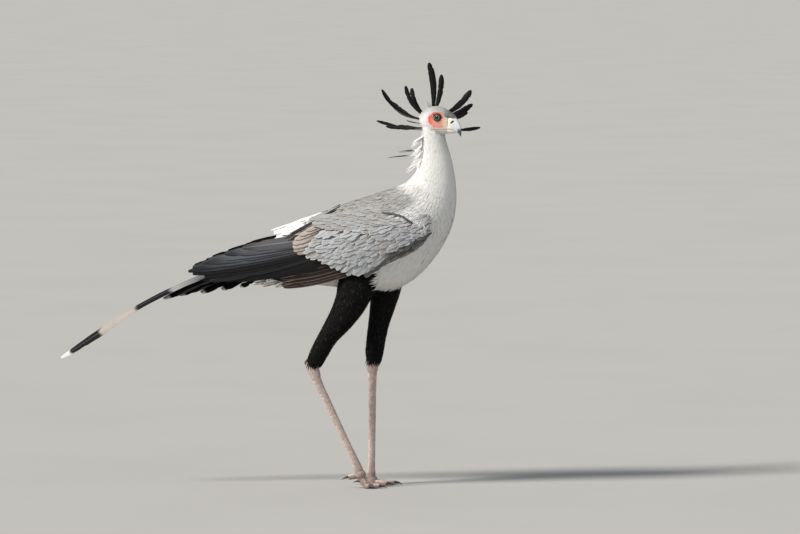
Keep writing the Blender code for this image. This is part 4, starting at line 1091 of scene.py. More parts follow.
class Finish:
    """A material in the making. What is the same all over is set on its shader when it is made."""

    def __init__(self, name, specular, **fixed):
        self.material = bpy.data.materials.new(name)
        self.material.use_nodes = True
        self.tree = self.material.node_tree
        self.shader = self.tree.nodes["Principled BSDF"]
        for key, value in {"Specular_IOR_Level": specular, **fixed}.items():
            self.shader.inputs[key.replace("_", " ")].default_value = value

    def join(self, socket, value):
        if isinstance(value, Wire):
            self.tree.links.new(value.socket, socket)
        elif socket.type == "RGBA" and len(value) == 3:
            socket.default_value = (*value, 1)
        else:
            socket.default_value = value

    def node(self, kind, settings=None, output=0, **sockets):
        """Adds a node: its type, its settings, and the values or wires of its sockets by name or number."""
        made = self.tree.nodes.new("ShaderNode" + kind)
        for key, value in (settings or {}).items():
            if key == "stops":
                ramp = made.color_ramp.elements
                while len(ramp) < len(value):
                    ramp.new(1.0)
                for element, (position, colour) in zip(ramp, value):
                    element.position = position
                    element.color = (*colour, 1)
            else:
                setattr(made, key, value)
        for key, value in sockets.items():
            number = key.startswith("_")
            self.join(made.inputs[int(key[1:]) if number else key.replace("_", " ")], value)
        return Wire(self, made.outputs[output])

    def note(self, name):
        """The three numbers that each point of the mesh carries under that name."""
        whole = self.node("Attribute", {"attribute_name": name}, "Vector")
        parts = self.node("SeparateXYZ", _0=whole).socket.node
        return [Wire(self, output) for output in parts.outputs]

    def place(self):
        return self.node("TexCoord", output="Object")

    def at(self, x, y, z):
        return self.node("CombineXYZ", X=x, Y=y, Z=z)

    def ramp(self, at, stops):
        """A colour that changes along a row of stops, each a place and a colour."""
        return self.node("ValToRGB", {"stops": stops}, Fac=at)

    def paint(self, colour, *coats):
        """A colour with others laid over it in turn, each given with its share."""
        for over, share in coats:
            colour = self.node("Mix", {"data_type": "RGBA"}, 2, _0=share, _6=colour, _7=over)
        return colour

    def done(self, colour, roughness, height=None, depth=0.0003, strength=0.5):
        """Feeds the shader and hands over the material."""
        self.join(self.shader.inputs["Base Color"], colour)
        self.join(self.shader.inputs["Roughness"], roughness)
        if height is not None:
            bump = self.node("Bump", Strength=strength, Distance=depth, Height=height)
            self.join(self.shader.inputs["Normal"], bump)
        return self.material

    def barbs(self, across, along, tint, count, slant):
        """Fine slanting lines, from 0 to 1, that run out from a feather's shaft towards its tip."""
        drift = self.at(across * 3, along * 5, tint * 40).noise(2.0, 2.0)
        turn = (along * count - abs(across) * slant + drift * 2.2 + tint * 30) * (2 * math.pi)
        return turn.sine() * 0.5 + 0.5


def plumage_colour(finish, tones, zone, tint, along, across):
    """The colour of small body plumage: white, grey or black by zone, streaked along the coat, with painted shade
    towards each tuft's root.
    """
    where = finish.place()
    grey, black, _ = zone
    broad = where.noise(9.0, 2.0)
    fine = where.times(1.0, 1.0, 0.22).noise(330.0)
    white = finish.paint(
        tones.white,
        (tones.white_shade, (tint * 0.5 + broad * 0.5).ease(0.35, 0.85) * 0.35),
        (tones.cream, where.noise(21.0, 2.0).ease(0.52, 0.75) * 0.35),
    )
    mantle = finish.paint(
        tones.grey,
        (tones.grey_brown, (tint * 0.6 + broad * 0.6).ease(0.35, 0.85)),
        (tones.grey_pale, abs(across).ease(0.45, 1.0) * 0.45),
    )
    dark = finish.paint(tones.black, (tones.dusty, (fine * 0.9 + tint * 0.15).ease(0.60, 0.74) * 0.6))
    # Painted shade: each tuft darkens towards its root, where the tufts over it shade it; not on the black thighs.
    roots = (1 - along).ease(0.45, 1.0) * 0.12 * (1 - black)
    return finish.paint(white, (mantle, grey), (dark, black), (tones.grey_brown, roots))


def small_plumage(name, tones):
    """Body plumage: soft, matt tufts."""
    finish = Finish(name, 0.12)
    across, along, tint = finish.note("vane")
    colour = plumage_colour(finish, tones, finish.note("zone"), tint, along, across)
    lines = finish.barbs(across, along, tint, 7.0, 1.4)
    return finish.done(colour, lines * 0.12 + 0.72, lines, 0.0004, 0.35)


def skin_finish(tones, bare):
    """Skin: feathered parts carry the coat's colours, and the face, cere and legs are bare."""
    finish = Finish("skin", 0.35)
    where = finish.place()
    face, leg, low = finish.note("bare")
    forward, back, height = finish.note("vane")
    zone = finish.note("zone")
    coat = plumage_colour(finish, tones, zone, where.noise(300.0), zone[2], where.noise(150.0))
    coarse, fine = where.noise(160.0), where.noise(620.0)
    pores, scales, dots = where.cells(700.0), where.cells(330.0), where.cells(190.0, "F1")
    orange = finish.paint(
        bare.face,
        (bare.face_red, (back * 0.8 + height * 0.5 + coarse * 0.5).ease(0.42, 0.95)),
        (bare.face_yellow, (forward + coarse * 0.25).ease(0.70, 1.10) * 0.85),
        (bare.cere, (forward + coarse * 0.2).ease(1.05, 1.35)),
        (bare.face_dark, pores.ease(0.0, 0.05, 1.0, 0.0) * 0.35),
        (bare.face_dark, fine.ease(0.62, 0.74) * 0.3),
        (bare.face_dark, dots.ease(0.26, 0.38, 1.0, 0.0) * (height + back * 0.4 - forward).ease(0.15, 0.6) * 0.9),
    )
    shin = finish.paint(
        bare.leg,
        (bare.leg_pale, coarse.ease(0.35, 0.7)),
        (bare.leg_dark, scales.ease(0.0, 0.07, 1.0, 0.0) * 0.55),
        # The shanks and feet darken towards the floor, below 0.10 m.
        (bare.leg_dark, low * (fine * 0.5 + 0.35)),
    )
    bumps = pores.ease(0.0, 0.10) * face + scales.ease(0.0, 0.12) * leg + fine * 0.25
    rough = 0.85 - face * 0.38 - leg * 0.30 + fine * 0.08
    return finish.done(finish.paint(coat, (orange, face), (shin, leg)), rough, bumps, 0.0005, 0.7)


def covert_finish(tones):
    """Wing coverts: pale blue-grey vanes with darker shafts, paler rims and a brown wash on some, with painted shade
    towards their roots, on the wing's lower front edge and in the shoulder fold.
    """
    finish = Finish("wing coverts", 0.15)
    across, along, tint = finish.note("vane")
    mantle, brown, dark = finish.note("zone")
    lines = finish.barbs(across, along, tint, 26.0, 3.0)
    wash, edge = finish.place().noise(26.0), abs(across)
    back = finish.paint(
        tones.grey,
        (tones.grey_brown, (tint * 0.5 + wash * 0.6).ease(0.40, 0.80)),
        (tones.grey_pale, edge.ease(0.5, 1.0) * 0.4),
    )
    beige = finish.paint(
        tones.tertial,
        (tones.flight_brown, (wash * 0.7 + tint * 0.3).ease(0.50, 0.80) * 0.5),
        (tones.flight_brown, edge.ease(0.72, 1.0) * 0.6),
    )
    shaft = edge.ease(0.04, 0.16, 1.0, 0.0) * tint.ease(0.15, 0.75) * along.ease(0.1, 0.5)
    colour = finish.paint(
        tones.covert,
        (tones.covert_blue, tint.ease(0.25, 0.9)),
        (tones.covert_brown, (tint * 0.35 + wash * 0.75).ease(0.56, 0.76) * 0.75),
        (tones.covert_pale, edge.ease(0.55, 1.0) * 0.45 + along.ease(0.80, 1.0) * 0.30),
        (tones.covert_shaft, shaft * 0.6),
        (back, mantle),
        (beige, brown),
        (tones.covert_shaft, lines.ease(0.55, 1.0) * 0.16),
        # Painted shade: each covert darkens towards its root, where the row over it shades it.
        (tones.covert_shaft, along.ease(0.15, 0.60, 1.0, 0.0) * 0.45),
        # The zone's third number: painted shade on the wing's lower front edge and in the shoulder fold, darkness on a
        # few random sunken coverts, and the dark tertials along the top edge.
        (tones.flight, dark),
    )
    return finish.done(colour, lines * 0.12 + 0.70, lines, 0.0004)


def flight_finish(tones):
    """Flight feathers: black-brown with a slight gloss, pale brown rims and shafts on the lowest ones, and a painted
    bluish sheen, the reflected light laid into the colour, on the upper ones.
    """
    finish = Finish("flight feathers", 0.14)
    across, along, tint = finish.note("vane")
    rim, brown, sheen = finish.note("zone")
    lines = finish.barbs(across, along, tint, 60.0, 5.0)
    streak = finish.at(across * 4, along * 1.5, tint * 50).noise(2.0, 4.0)
    edge, shaft = abs(across).ease(0.72, 0.98), abs(across).ease(0.03, 0.10, 1.0, 0.0)
    glow = (streak * 0.9 + tint * 0.25).ease(0.30, 0.72) * (1 - edge * 0.9) * along.ease(0.96, 0.80, 0.3, 1.0)
    colour = finish.paint(
        tones.flight,
        (tones.flight_grey, (streak * 0.7 + tint * 0.3).ease(0.45, 0.80) * 0.5),
        # Painted sheen: the light that the upper flight feathers reflect, laid into their colour in streaks that fade
        # at the rims and tips.
        (tones.painted_flight_sheen, sheen * glow),
        (tones.flight_brown, (streak + brown * 0.55).ease(0.62, 0.95) * brown),
        (tones.flight_rim, edge * rim * 0.8),
        (tones.flight_shaft, shaft * rim * 0.9),
        (tones.flight_grey, lines.ease(0.6, 1.0) * 0.25),
    )
    return finish.done(colour, 0.55 - lines * 0.15, lines)


def tail_finish(tones):
    """Tail feathers: grey, then a black band, a pale band, a black band and a white tip."""
    finish = Finish("tail feathers", 0.06)
    across, along, tint = finish.note("vane")
    central = finish.note("zone")[0]
    lines = finish.barbs(across, along, tint, 90.0, 5.0)
    wobble = finish.at(across * 2, along * 30, tint * 20).noise(1.5, 2.0)
    at = along + (wobble - 0.5) * 0.020 + abs(across) * 0.006
    grey, black, pale, white = tones.tail_grey, tones.flight, tones.tail_pale, tones.tail_white
    long_one = finish.ramp(at, (
        (0.0, grey), (0.30, grey), (0.44, tones.tail_smoke), (0.462, black), (0.610, black), (0.628, pale),
        (0.798, pale), (0.810, black), (0.950, black), (0.962, white), (1.0, white),
    ))
    short_one = finish.ramp(at, (
        (0.0, grey), (0.55, grey), (0.64, black), (0.93, black), (0.95, white), (1.0, white),
    ))
    colour = finish.paint(
        short_one,
        (long_one, central),
        (tones.flight_grey, finish.place().noise(40.0, 4.0).ease(0.5, 0.75) * 0.15),
        (tones.flight_grey, lines.ease(0.6, 1.0) * 0.12),
        (tones.covert_pale, abs(across).ease(0.03, 0.09, 1.0, 0.0) * central * 0.12),
    )
    return finish.done(colour, 0.62 - lines * 0.08, lines, strength=0.25)


def crest_finish(tones):
    """Crest plumes: glossy black with brown fringes and a pale base."""
    finish = Finish("crest plumes", 0.13)
    across, along, tint = finish.note("vane")
    pale = finish.note("zone")[0]
    lines = finish.barbs(across, along, tint, 70.0, 4.0)
    wash = finish.place().noise(60.0)
    base = along.ease(0.05, 0.30, 1.0, 0.0) * tint.ease(0.3, 0.9)
    colour = finish.paint(
        tones.crest,
        (tones.crest_brown, (wash * 0.6 + abs(across) * 0.5).ease(0.62, 0.95) * 0.6),
        (tones.grey, base * 0.35),
        (tones.white, pale.ease(0.05, 0.15) * (1 - along.ease(0.25, 0.55) * tint.ease(0.25, 0.5))),
        (tones.crest_brown, lines.ease(0.6, 1.0) * 0.12 * (1 - pale)),
    )
    return finish.done(colour, 0.55 - lines * 0.06, lines, strength=0.2)


def bill_finish(bare):
    """Bill: bluish horn, a yellowish cere at the base, a dark hook, and nostrils painted dark: the shade inside their
    hollows.
    """
    finish = Finish("bill horn", 0.5, Coat_Weight=0.12, Coat_Roughness=0.25)
    cere, tip, hollow = finish.note("zone")
    where = finish.place()
    grain, streak = where.noise(240.0, 4.0), where.times(1.0, 1.0, 4.0).noise(90.0)
    colour = finish.paint(
        bare.bill,
        (bare.bill_blue, streak.ease(0.4, 0.7) * 0.7),
        (bare.cere, (cere + grain * 0.15 - 0.07).ease(0.15, 0.85)),
        (bare.bill_tip, (tip + streak * 0.25 - 0.12).ease(0.2, 0.8)),
        # Painted shade inside the sunken nostrils.
        (NOSTRIL_SHADE, hollow.ease(0.3, 0.8)),
    )
    return finish.done(colour, 0.34 + grain * 0.16 + hollow * 0.3, grain * 0.6 + streak * 0.6, strength=0.4)


def eye_finish(bare):
    """Eye: black pupil, grey-green iris that darkens to a black rim, and a wet coat."""
    finish = Finish("eye", 0.3, Coat_Weight=0.7, Coat_Roughness=0.03)
    away, turn, _ = finish.note("zone")
    fibres = finish.at(away * 3, (turn * (2 * math.pi)).sine() * 5, turn * 14).noise(3.0, 4.0)
    colour = finish.ramp(away + (fibres - 0.5) * 0.05, (
        (0.0, PUPIL_BLACK), (0.40, PUPIL_BLACK), (0.44, bare.iris_dark), (0.52, bare.iris), (0.66, bare.iris),
        (0.76, bare.iris_dark), (0.88, EYE_RIM_BLACK), (1.0, EYE_RIM_BLACK),
    ))
    colour = finish.paint(colour, (bare.iris_dark, fibres.ease(0.52, 0.70) * 0.5))
    return finish.done(colour, 0.08 + fibres * 0.06)


def lid_finish(bare):
    """Lids and lashes: black, finely creased."""
    finish = Finish("lids and lashes", 0.5)
    creases = finish.place().noise(900.0)
    colour = finish.paint(bare.lid, (bare.face_dark, creases.ease(0.58, 0.75) * 0.35))
    return finish.done(colour, 0.38 + creases * 0.25, creases, strength=0.6)


def horn_finish(name, base, pale):
    """Claws and leg scutes: horn with fine growth lines and worn, paler places."""
    finish = Finish(name, 0.5)
    across, along, tint = finish.note("vane")
    grain = finish.place().noise(300.0, 4.0)
    lines = (along * 60 + grain * 3).sine() * 0.5 + 0.5
    worn = (grain * 0.8 + tint * 0.4).ease(0.42, 0.85)
    colour = finish.paint(base, (pale, worn), (base, abs(across).ease(0.7, 1.0) * 0.6))
    return finish.done(colour, 0.42 + grain * 0.2, lines * 0.3 + grain, strength=0.4)


def floor_finish(stage):
    """Floor: plain, pale and matt, with a faint mottle."""
    finish = Finish("studio floor", 0.2)
    mottle = finish.place().noise(1.3, 4.0)
    colour = finish.paint(stage.floor, (stage.floor_shade, mottle.ease(0.35, 0.7) * 0.35))
    return finish.done(colour, 0.85 + mottle * 0.1)


# Wings, tail and crest

def wing_vanes(heap, side, root, tip, width, off, draw, stations, lap=0.20, bow=0.0, shape=round_vane, **more):
    """Adds wing feathers from roots to tips, given as (feathers, 2) places s, v on the folded wing."""
    count = len(root)
    u = vane_shares(stations)
    s = root[:, :1] + (tip[:, :1] - root[:, :1]) * u
    v = root[:, 1:] + (tip[:, 1:] - root[:, 1:]) * u + bow * 4 * u * (1 - u)
    low, high = (np.broadcast_to(value, (count,))[:, None] for value in off)
    middle = wing_point(s, v, side, low + (high - low) * u ** 0.8)
    out = wing_out(s, v, side)
    ahead = unit(np.gradient(middle, axis=1))
    out = unit(out - ahead * (out * ahead).sum(-1, keepdims=True))
    across = np.cross(out, ahead)
    across = across * -np.sign(across[..., 2:3])
    across = unit(across + out * lap)
    face = np.cross(across, ahead)
    face = face * np.sign((face * out).sum(-1, keepdims=True))
    half = np.asarray(width).reshape(-1, 1) / 2 * shape(u)[None] * np.ones((count, 1))
    half = np.maximum(half, LEAST_HALF)
    lay_vanes(heap, middle, across, face, half, draw.random(count), draw, **more)


def lay_flights(heap, side, draw, tips, count, roots, off, width, zone):
    """A tier of flight feathers, from its lowest one up."""
    share = np.linspace(0, 1, count)
    tip = row_at(tips, share * (len(tips) - 1)) + draw.uniform(-0.008, 0.006, (count, 1)) * (1, 0)
    root = row_at(FLIGHT_ROOTS, roots[0] + (roots[1] - roots[0]) * share)
    wing_vanes(heap, side, root, tip, width * draw.uniform(0.92, 1.06, count), off, draw, 16, 0.20, -0.003,
               pointed_vane, zone=np.stack([0 * share + value for value in zone(share)], -1), shaft=0.0006,
               ragged=0.05, splits=0.8)


def build_flights(side, draw):
    """A wing's flight feathers in tiers. Each tier's last rule tells their pale rims, brown and painted blue sheen, the
    sheen strongest on a tier's upper feathers.
    """
    heap = Heap()
    lay_flights(heap, side, draw, BLACK_TIPS, 8, (0.3, 2.2), (-0.0105, -0.0090), 0.032, lambda share: (0, 0, 0))
    lay_flights(heap, side, draw, LOW_TIPS, 8, (0.0, 1.6), (-0.0085, -0.0065), 0.030,
                lambda share: (0.35 + 0.65 * (share < 0.5), 0.9 - 0.5 * share, 0))
    lay_flights(heap, side, draw, MIDDLE_TIPS[::-1], 9, (1.0, 2.3), (-0.0085, -0.0050), 0.034,
                lambda share: (0, 0, 0.55 * ease(share, 0.35, 0.9)))
    lay_flights(heap, side, draw, UPPER_TIPS, 9, (1.9, 3.0), (-0.0070, -0.0030), 0.034,
                lambda share: (0.5 * (share > 0.9), 0.5 * (share > 0.9), ease(share, 0.20, 0.65)))
    return heap


def lay_covert_row(heap, side, draw, row, rows):
    """A row of coverts along the wing, between its front edge and the last row's tips."""
    steps = np.linspace(0, 1, 60)
    front, back = row_at(COVERT_FRONT, steps * 4), row_at(COVERT_TIPS, steps * 4)
    w, before = ((row + 1) / rows) ** COVERT_CROWDING, (row / rows) ** COVERT_CROWDING
    gap = np.linalg.norm((back - front).mean(0)) * (w - before)
    length = 2.2 * gap + 0.014
    width = 0.0055 + 0.21 * length
    run = run_along(front + (back - front) * w)
    count = max(8, int(run[-1] / (0.42 * width)))
    spot = np.linspace(0, 1, count) + draw.uniform(-0.4, 0.4, count) / count
    at = np.interp(np.clip(spot, 0, 1) * run[-1], run, steps)
    tips = row_at(COVERT_FRONT, at * 4) * (1 - w) + row_at(COVERT_TIPS, at * 4) * w
    angle = np.radians(44 - 40 * at ** 0.8 + draw.normal(0, 9, count))
    way = np.stack((np.cos(angle), -np.sin(angle)), -1)
    long = length * draw.uniform(0.80, 1.15, count)
    tips = tips + way * draw.uniform(-0.45, 0.20, count)[:, None] * gap
    dark = draw.random(count) < 0.03
    # Painted shade: full on the lowest coverts of the front rows, where the wing's lower edge turns down near the bend,
    # fading back and up. A few random coverts, set lower and narrower, are dark as well.
    under = 0.80 * np.maximum(ease(at + 0.28 * w, 0.36, 0.24), dark)
    high = 0.0022 + 0.0022 * draw.random(count) - 0.0010 * dark
    wide = width * draw.uniform(0.75, 1.1, count) * (1 - 0.5 * dark)
    lap = 0.22 + draw.uniform(-0.07, 0.07)
    wing_vanes(heap, side, tips - way * long[:, None], tips, wide, (-0.0030, high), draw, 9, lap,
               zone=np.stack((0 * at, 0 * at, under), -1), columns=PLAIN_COLUMNS if row < rows - 5 else VANE_COLUMNS,
               ragged=0.34, splits=1.0, cup=0.04, thickness=0.00035)


def lay_scapular_row(heap, side, draw, row, rows):
    """A row of the feathers that lap from the back over the wing."""
    count = 11
    share = (np.arange(count) + draw.uniform(0.2, 0.8, count)) / count
    start, end = row_at(SCAPULAR_ROOTS, share * 3), row_at(SCAPULAR_TIPS, share * 3)
    tip = start + (end - start) * (0.10 + 0.90 * ((row + 1) / rows))
    tip = tip + draw.uniform(-0.006, 0.006, (count, 1)) * (1, 0)
    root = tip - unit(end - start) * (0.052 * draw.uniform(0.85, 1.15, count))[:, None]
    wing_vanes(heap, side, root, tip, 0.0175 * draw.uniform(0.8, 1.1, count), (-0.0040, 0.0045), draw, 10,
               zone=(1, 0, 0), ragged=0.22, splits=1.0, cup=0.04, thickness=0.00035)


def build_coverts(side, sizes, draw):
    """A wing's coverts in overlapping rows, its tertials, its few dark feathers and its scapulars. The dark feathers
    along the top edge are dark tertials; those in the shoulder fold are mostly painted shadow of the scapulars' front
    edge, partly dark feather bases.
    """
    heap = Heap()
    for row in range(sizes.covert_rows):
        lay_covert_row(heap, side, draw, row, sizes.covert_rows)
    tips = row_at(TERTIAL_TIPS, np.linspace(0, 5, 7)) + draw.uniform(-0.007, 0.005, (7, 1)) * (1, 0)
    roots = tips - np.array((0.095, -0.020)) * draw.uniform(0.9, 1.1, (7, 1))
    wing_vanes(heap, side, roots, tips, 0.022 * draw.uniform(0.8, 1.1, 7), (-0.0060, 0.0010), draw, 14, 0.26,
               shape=long_vane, zone=(0, 1, 0), ragged=0.05, splits=1.0, cup=0.05)
    # The top edge gets dark tertials; the shoulder fold gets mostly painted shadow, dark feathers where the scapulars'
    # front edge casts its shade.
    for places, wide, off, dark in (
        (TOP_EDGE, 0.011, (-0.0040, 0.0030), 0.93), (SHOULDER_SHADOW, 0.0090, (0.0038, 0.0074), 0.70),
    ):
        for root, tip in places:
            wing_vanes(heap, side, np.array([root]), np.array([tip]), wide, off, draw, 14, 0.25, shape=pointed_vane,
                       zone=(0, 0.3, dark), ragged=0.30)
    for row in range(sizes.scapular_rows):
        lay_scapular_row(heap, side, draw, row, sizes.scapular_rows)
    return heap


def tail_height(x):
    tip_x, tip_z = TAIL_FEATHERS[0][:2]
    u = (x - TAIL_ROOT[0]) / (tip_x - TAIL_ROOT[0])
    return TAIL_ROOT[1] + (tip_z - TAIL_ROOT[1]) * u + TAIL_SAG * 4 * u * (1 - u)


def tail_line(number, u):
    """The line of a tail feather: under the middle pair, and ever further under towards its tip."""
    tip_x, tip_z = TAIL_FEATHERS[number][:2]
    x = TAIL_ROOT[0] + (tip_x - TAIL_ROOT[0]) * u
    further = tail_height(tip_x) - TAIL_DROP * number - tip_z
    return np.stack((x, 0 * x, tail_height(x) - TAIL_DROP * number - further * u * u), -1)


def build_tail_feathers():
    """Six feathers a side. The long middle ones, which come first, twist towards their tips."""
    heap, draw = Heap(), np.random.default_rng(5)
    for side in SIDES.values():
        for number, (_, _, width, roll) in enumerate(TAIL_FEATHERS):
            longest = float(number == 0)
            u = vane_shares(44 if longest else 18)
            line = tail_line(number, u)
            ahead = unit(np.gradient(line, axis=0))
            turn = np.radians(roll + TAIL_TWIST * longest * ease(u, 0.66, 0.84))[:, None]
            up = unit(np.cross((0.0, 1.0, 0.0), ahead))
            up = up * np.sign(up[:, 2:3])
            aside = np.array((0, side, 0))
            across = aside * np.cos(turn) - up * np.sin(turn)
            face = unit(up * np.cos(turn) + aside * np.sin(turn))
            half = np.maximum(width / 2 * long_vane(u, 0.45), 0.0005)
            middle = line + across * (half + 0.0006 + 0.0016 * (1 - u))[:, None]
            lay_vanes(heap, middle[None], across[None], face[None], half[None], np.array((0.2 + 0.1 * number,)), draw,
                      zone=(longest, 0.0, 0.0), thickness=0.0007, shaft=0.0007, ragged=0.07, splits=0.9)
    return heap


def rump_height(x):
    return 0.7335 + 0.357 * (x + 0.152)


def build_tail_coverts():
    """White coverts in rows over the root of the tail and under it."""
    heap, draw = Heap(), np.random.default_rng(6)
    over = [((x + 0.088, rump_height(x + 0.088) - 0.004), (x, rump_height(x)), spread, 19) for x, spread in RUMP_ROWS]
    for rows, up in ((over, 1), (VENT_ROWS, -1)):
        for root, tip, spread, count in rows:
            across = np.linspace(-1, 1, count) + draw.uniform(-0.08, 0.08, count)
            drop = -up * (0.016 * across ** 2)
            start = np.stack((0 * across + root[0], spread * 0.5 * across, root[1] + drop - up * 0.003), -1)
            end_x = tip[0] + 0.012 * abs(across) + draw.uniform(-0.006, 0.006, count)
            end = np.stack((end_x, spread * across, tip[1] + drop + up * 0.001), -1)
            face = np.stack((0 * across + 0.15, across * 0.75, 0 * across + up), -1)
            middle, side, out = curved_spines(start, end, np.tile((0, 0, 0.002 * up), (count, 1)), face, 11)
            half = (0.0135 - 0.0025 * up) * round_vane(vane_shares(11))[None] * draw.uniform(0.85, 1.1, (count, 1))
            lay_vanes(heap, middle, side, out, np.maximum(half, LEAST_HALF), 0.5 * draw.random(count), draw,
                      ragged=0.12, cup=0.16, thickness=0.0003)
    return heap


def build_crest(draw):
    """The crest, plume by plume."""
    heap = Heap()
    shares = vane_shares(26)
    low, high = NAPE_HEIGHT
    for number, (x, y, z, width, bow, rise, forward, stalk) in enumerate(CREST):
        tip = np.array((x, y, z))
        aside = np.clip(head_local(tip)[1] / 0.08, -1, 1)
        out = NAPE_HALF_WIDTH * aside * math.sqrt(1 - 0.7 * rise * rise)
        root = np.array((NAPE_BACK[rise > 0.8], out, (low + high) / 2 + (high - low) / 2 * rise))
        root = head_place(root) + (forward, 0, 0)
        sideways = np.cross((0.0, 1.0, 0.0), tip - root)
        face = np.array((0.1, -1.0, 0.25) if abs(aside) < 0.9 else (0.3, -0.5, 0.8))
        middle, across, out = curved_spines(root[None], tip[None], -bow * sideways[None], face[None], len(shares))
        pale = float(number == SHORT_PLUME)
        half = np.maximum(width / 2 * (lance_vane(shares) if pale else spoon_vane(shares, stalk)), 0.0006)[None]
        lay_vanes(heap, middle, across, out, half, np.array((0.2 * pale,)), draw, zone=(pale, 0, 0), thickness=0.0007,
                  shaft=0.0006, cup=0.12, ragged=0.12, splits=1.0)
    return heap


def build_nape_plumes(draw):
    """The loose plumes that hang down the nape: the white ones in tufts, the others in pairs."""
    heap = Heap()
    for root, tip, width, pale in NAPE_PLUMES:
        copies, scatter = (7, 0.0045) if pale > 0.5 else (2, 0.0015)
        spread = draw.normal(0, scatter, (copies, 3))
        spread[0] = 0
        face = np.tile((-0.3, -0.6, 0.7), (copies, 1)) + draw.normal(0, 0.25, (copies, 3))
        bow = np.tile((0, 0, 0.002), (copies, 1))
        middle, across, out = curved_spines(np.array(root) + spread * 0.6, np.array(tip) + spread, bow, face, 12)
        half = np.maximum(width / 2 * lance_vane(vane_shares(12)), LEAST_HALF)[None]
        half = half * draw.uniform(0.7, 1.0, (copies, 1))
        tint = draw.random(copies)
        tint = 0.2 * tint if pale > 0.5 else 0.6 + 0.4 * tint
        lay_vanes(heap, middle, across, out, half, tint, draw, zone=(pale, 0, 0), columns=PLAIN_COLUMNS, ragged=0.25,
                  splits=1.0, cup=0.05)
    return heap


# Bill, eyes, claws and scutes

def arch_points(rows, at, turn, flat_top):
    """Arches over a straight base: turn 0 and half a turn are the two ends of the base."""
    top, low, half = outline(rows, at)
    base, rise = (top, low - top) if flat_top else (low, top - low)
    wide = np.sign(np.cos(turn)) * np.abs(np.cos(turn)) ** 0.8
    made = base + rise * (np.clip(np.sin(turn), 0, 1) ** 0.85)[..., None]
    made[..., 1] += half * wide
    return made


def shape_upper_bill(points, turn):
    """Sinks the nostrils into the upper bill, swells its cere and gives its edge a tooth. Tells the hollow's share."""
    x, y, z = np.moveaxis(points, -1, 0)
    side = np.sign(y) * (np.abs(y) > 0.002)
    c, s = math.cos(NOSTRIL_SLANT), math.sin(NOSTRIL_SLANT)
    dx, dz = x - NOSTRIL_AT[0], z - NOSTRIL_AT[1]
    along, across = dx * c + dz * s, dz * c - dx * s
    near = np.sqrt((along / NOSTRIL_HALF[0]) ** 2 + (across / NOSTRIL_HALF[1]) ** 2)
    hollow = ease(near, 1.25, 0.75) * (side != 0)
    points[..., 1] -= side * 0.0026 * hollow
    points[..., 1] += side * 0.0005 * bell(near, 1.45, 0.35) * (side != 0)
    swell = bell(x, 0.0655, 0.0045) * np.clip((z + 0.026) / 0.03, 0, 1)
    points[..., 1] += side * 0.0007 * swell
    points[..., 2] += 0.0009 * swell * np.sin(turn) ** 2
    points[..., 2] -= 0.0009 * bell(x, 0.078, 0.004) * ease(np.abs(y), 0.003, 0.006) * (np.sin(turn) < 0.25)
    return hollow


def build_bill(rows, lower, count, around=64):
    """A half of the bill, with its cere, the dark of its tip and the hollow of each nostril as zones."""
    turn = np.linspace(0, np.pi, around)[None]
    points = arch_points(rows, np.linspace(0, len(rows) - 1, count)[:, None], turn, lower)
    if lower:
        x = points[..., 0]
        zone = ease(x, 0.0700, 0.0590), 0.15 * ease(x, 0.070, 0.078), 0 * x
    else:
        hollow = shape_upper_bill(points, turn)
        x, _, z = np.moveaxis(points, -1, 0)
        zone = ease(x, 0.0740, 0.0610), ease(z, -0.016, -0.036) * ease(x, 0.078, 0.088), hollow
    heap = Heap()
    heap.tube(head_place(points), zone=np.stack(zone, -1).reshape(1, -1, 3))
    return heap


def eye_axes(side):
    """An eye's middle, and the ways in which it looks, ahead and up."""
    centre, looks = np.array(EYE_AT) * (1, side, 1), unit(np.array(EYE_LOOKS) * (1, side, 1))
    ahead = unit(np.array((1, 0, -0.12)) - looks * looks[0])
    return centre, looks, ahead, np.cross(looks, ahead) * side


def build_eye(side):
    """An eyeball with its clear bulge forward, as rings round the way that it looks."""
    centre, looks, ahead, up = eye_axes(side)
    away = np.concatenate((np.linspace(0.02, 0.95, 34), np.linspace(1.05, 3.12, 18)))[:, None]
    turn = full_turn(56)
    bulge = EYE_RADIUS + 0.0007 * ease(away, 0.75, 0.0)
    ring = ahead * np.cos(turn)[:, None] + up * np.sin(turn)[:, None]
    points = centre + bulge[..., None] * (looks * np.cos(away)[..., None] + ring[None] * np.sin(away)[..., None])
    share = (away / 0.90).clip(0, 1.2) + 0 * turn
    heap = Heap()
    zone = np.stack((share, 0 * share + turn / (2 * np.pi), 0 * share), -1).reshape(1, -1, 3)
    heap.tube(head_place(points), zone=zone)
    return heap


def build_lids(side, heap):
    """Both lids of an eye as a creased rim, heavier above."""
    centre, looks, ahead, up = eye_axes(side)
    up = up * np.sign(up[2])
    turn, round_turn = full_turn(64), full_turn(12)
    above, below = np.clip(np.sin(turn), 0, 1), np.clip(-np.sin(turn), 0, 1)
    radius = LID_RADIUS * (1 - 0.10 * above - 0.05 * below)
    way = ahead * (LID_STRETCH * np.cos(turn) * radius)[:, None] + up * (np.sin(turn) * radius)[:, None]
    plane = np.sqrt(np.maximum((EYE_RADIUS + 0.0004) ** 2 - (way ** 2).sum(-1), 0.00001))
    middle = centre + way + looks * plane[:, None]
    thick = 0.00115 + 0.00055 * above + 0.0001 * np.sin(turn * 9)
    ring = unit(way)[:, None] * np.cos(round_turn)[None, :, None] + looks * np.sin(round_turn)[None, :, None]
    points = middle[:, None] + ring * thick[:, None, None]
    faces = []
    for i in range(64):
        for k in range(12):
            a, b, n = i * 12, (i + 1) % 64 * 12, (k + 1) % 12
            faces.append((a + k, a + n, b + n, b + k))
    heap.add(head_place(points).reshape(-1, 3), faces)


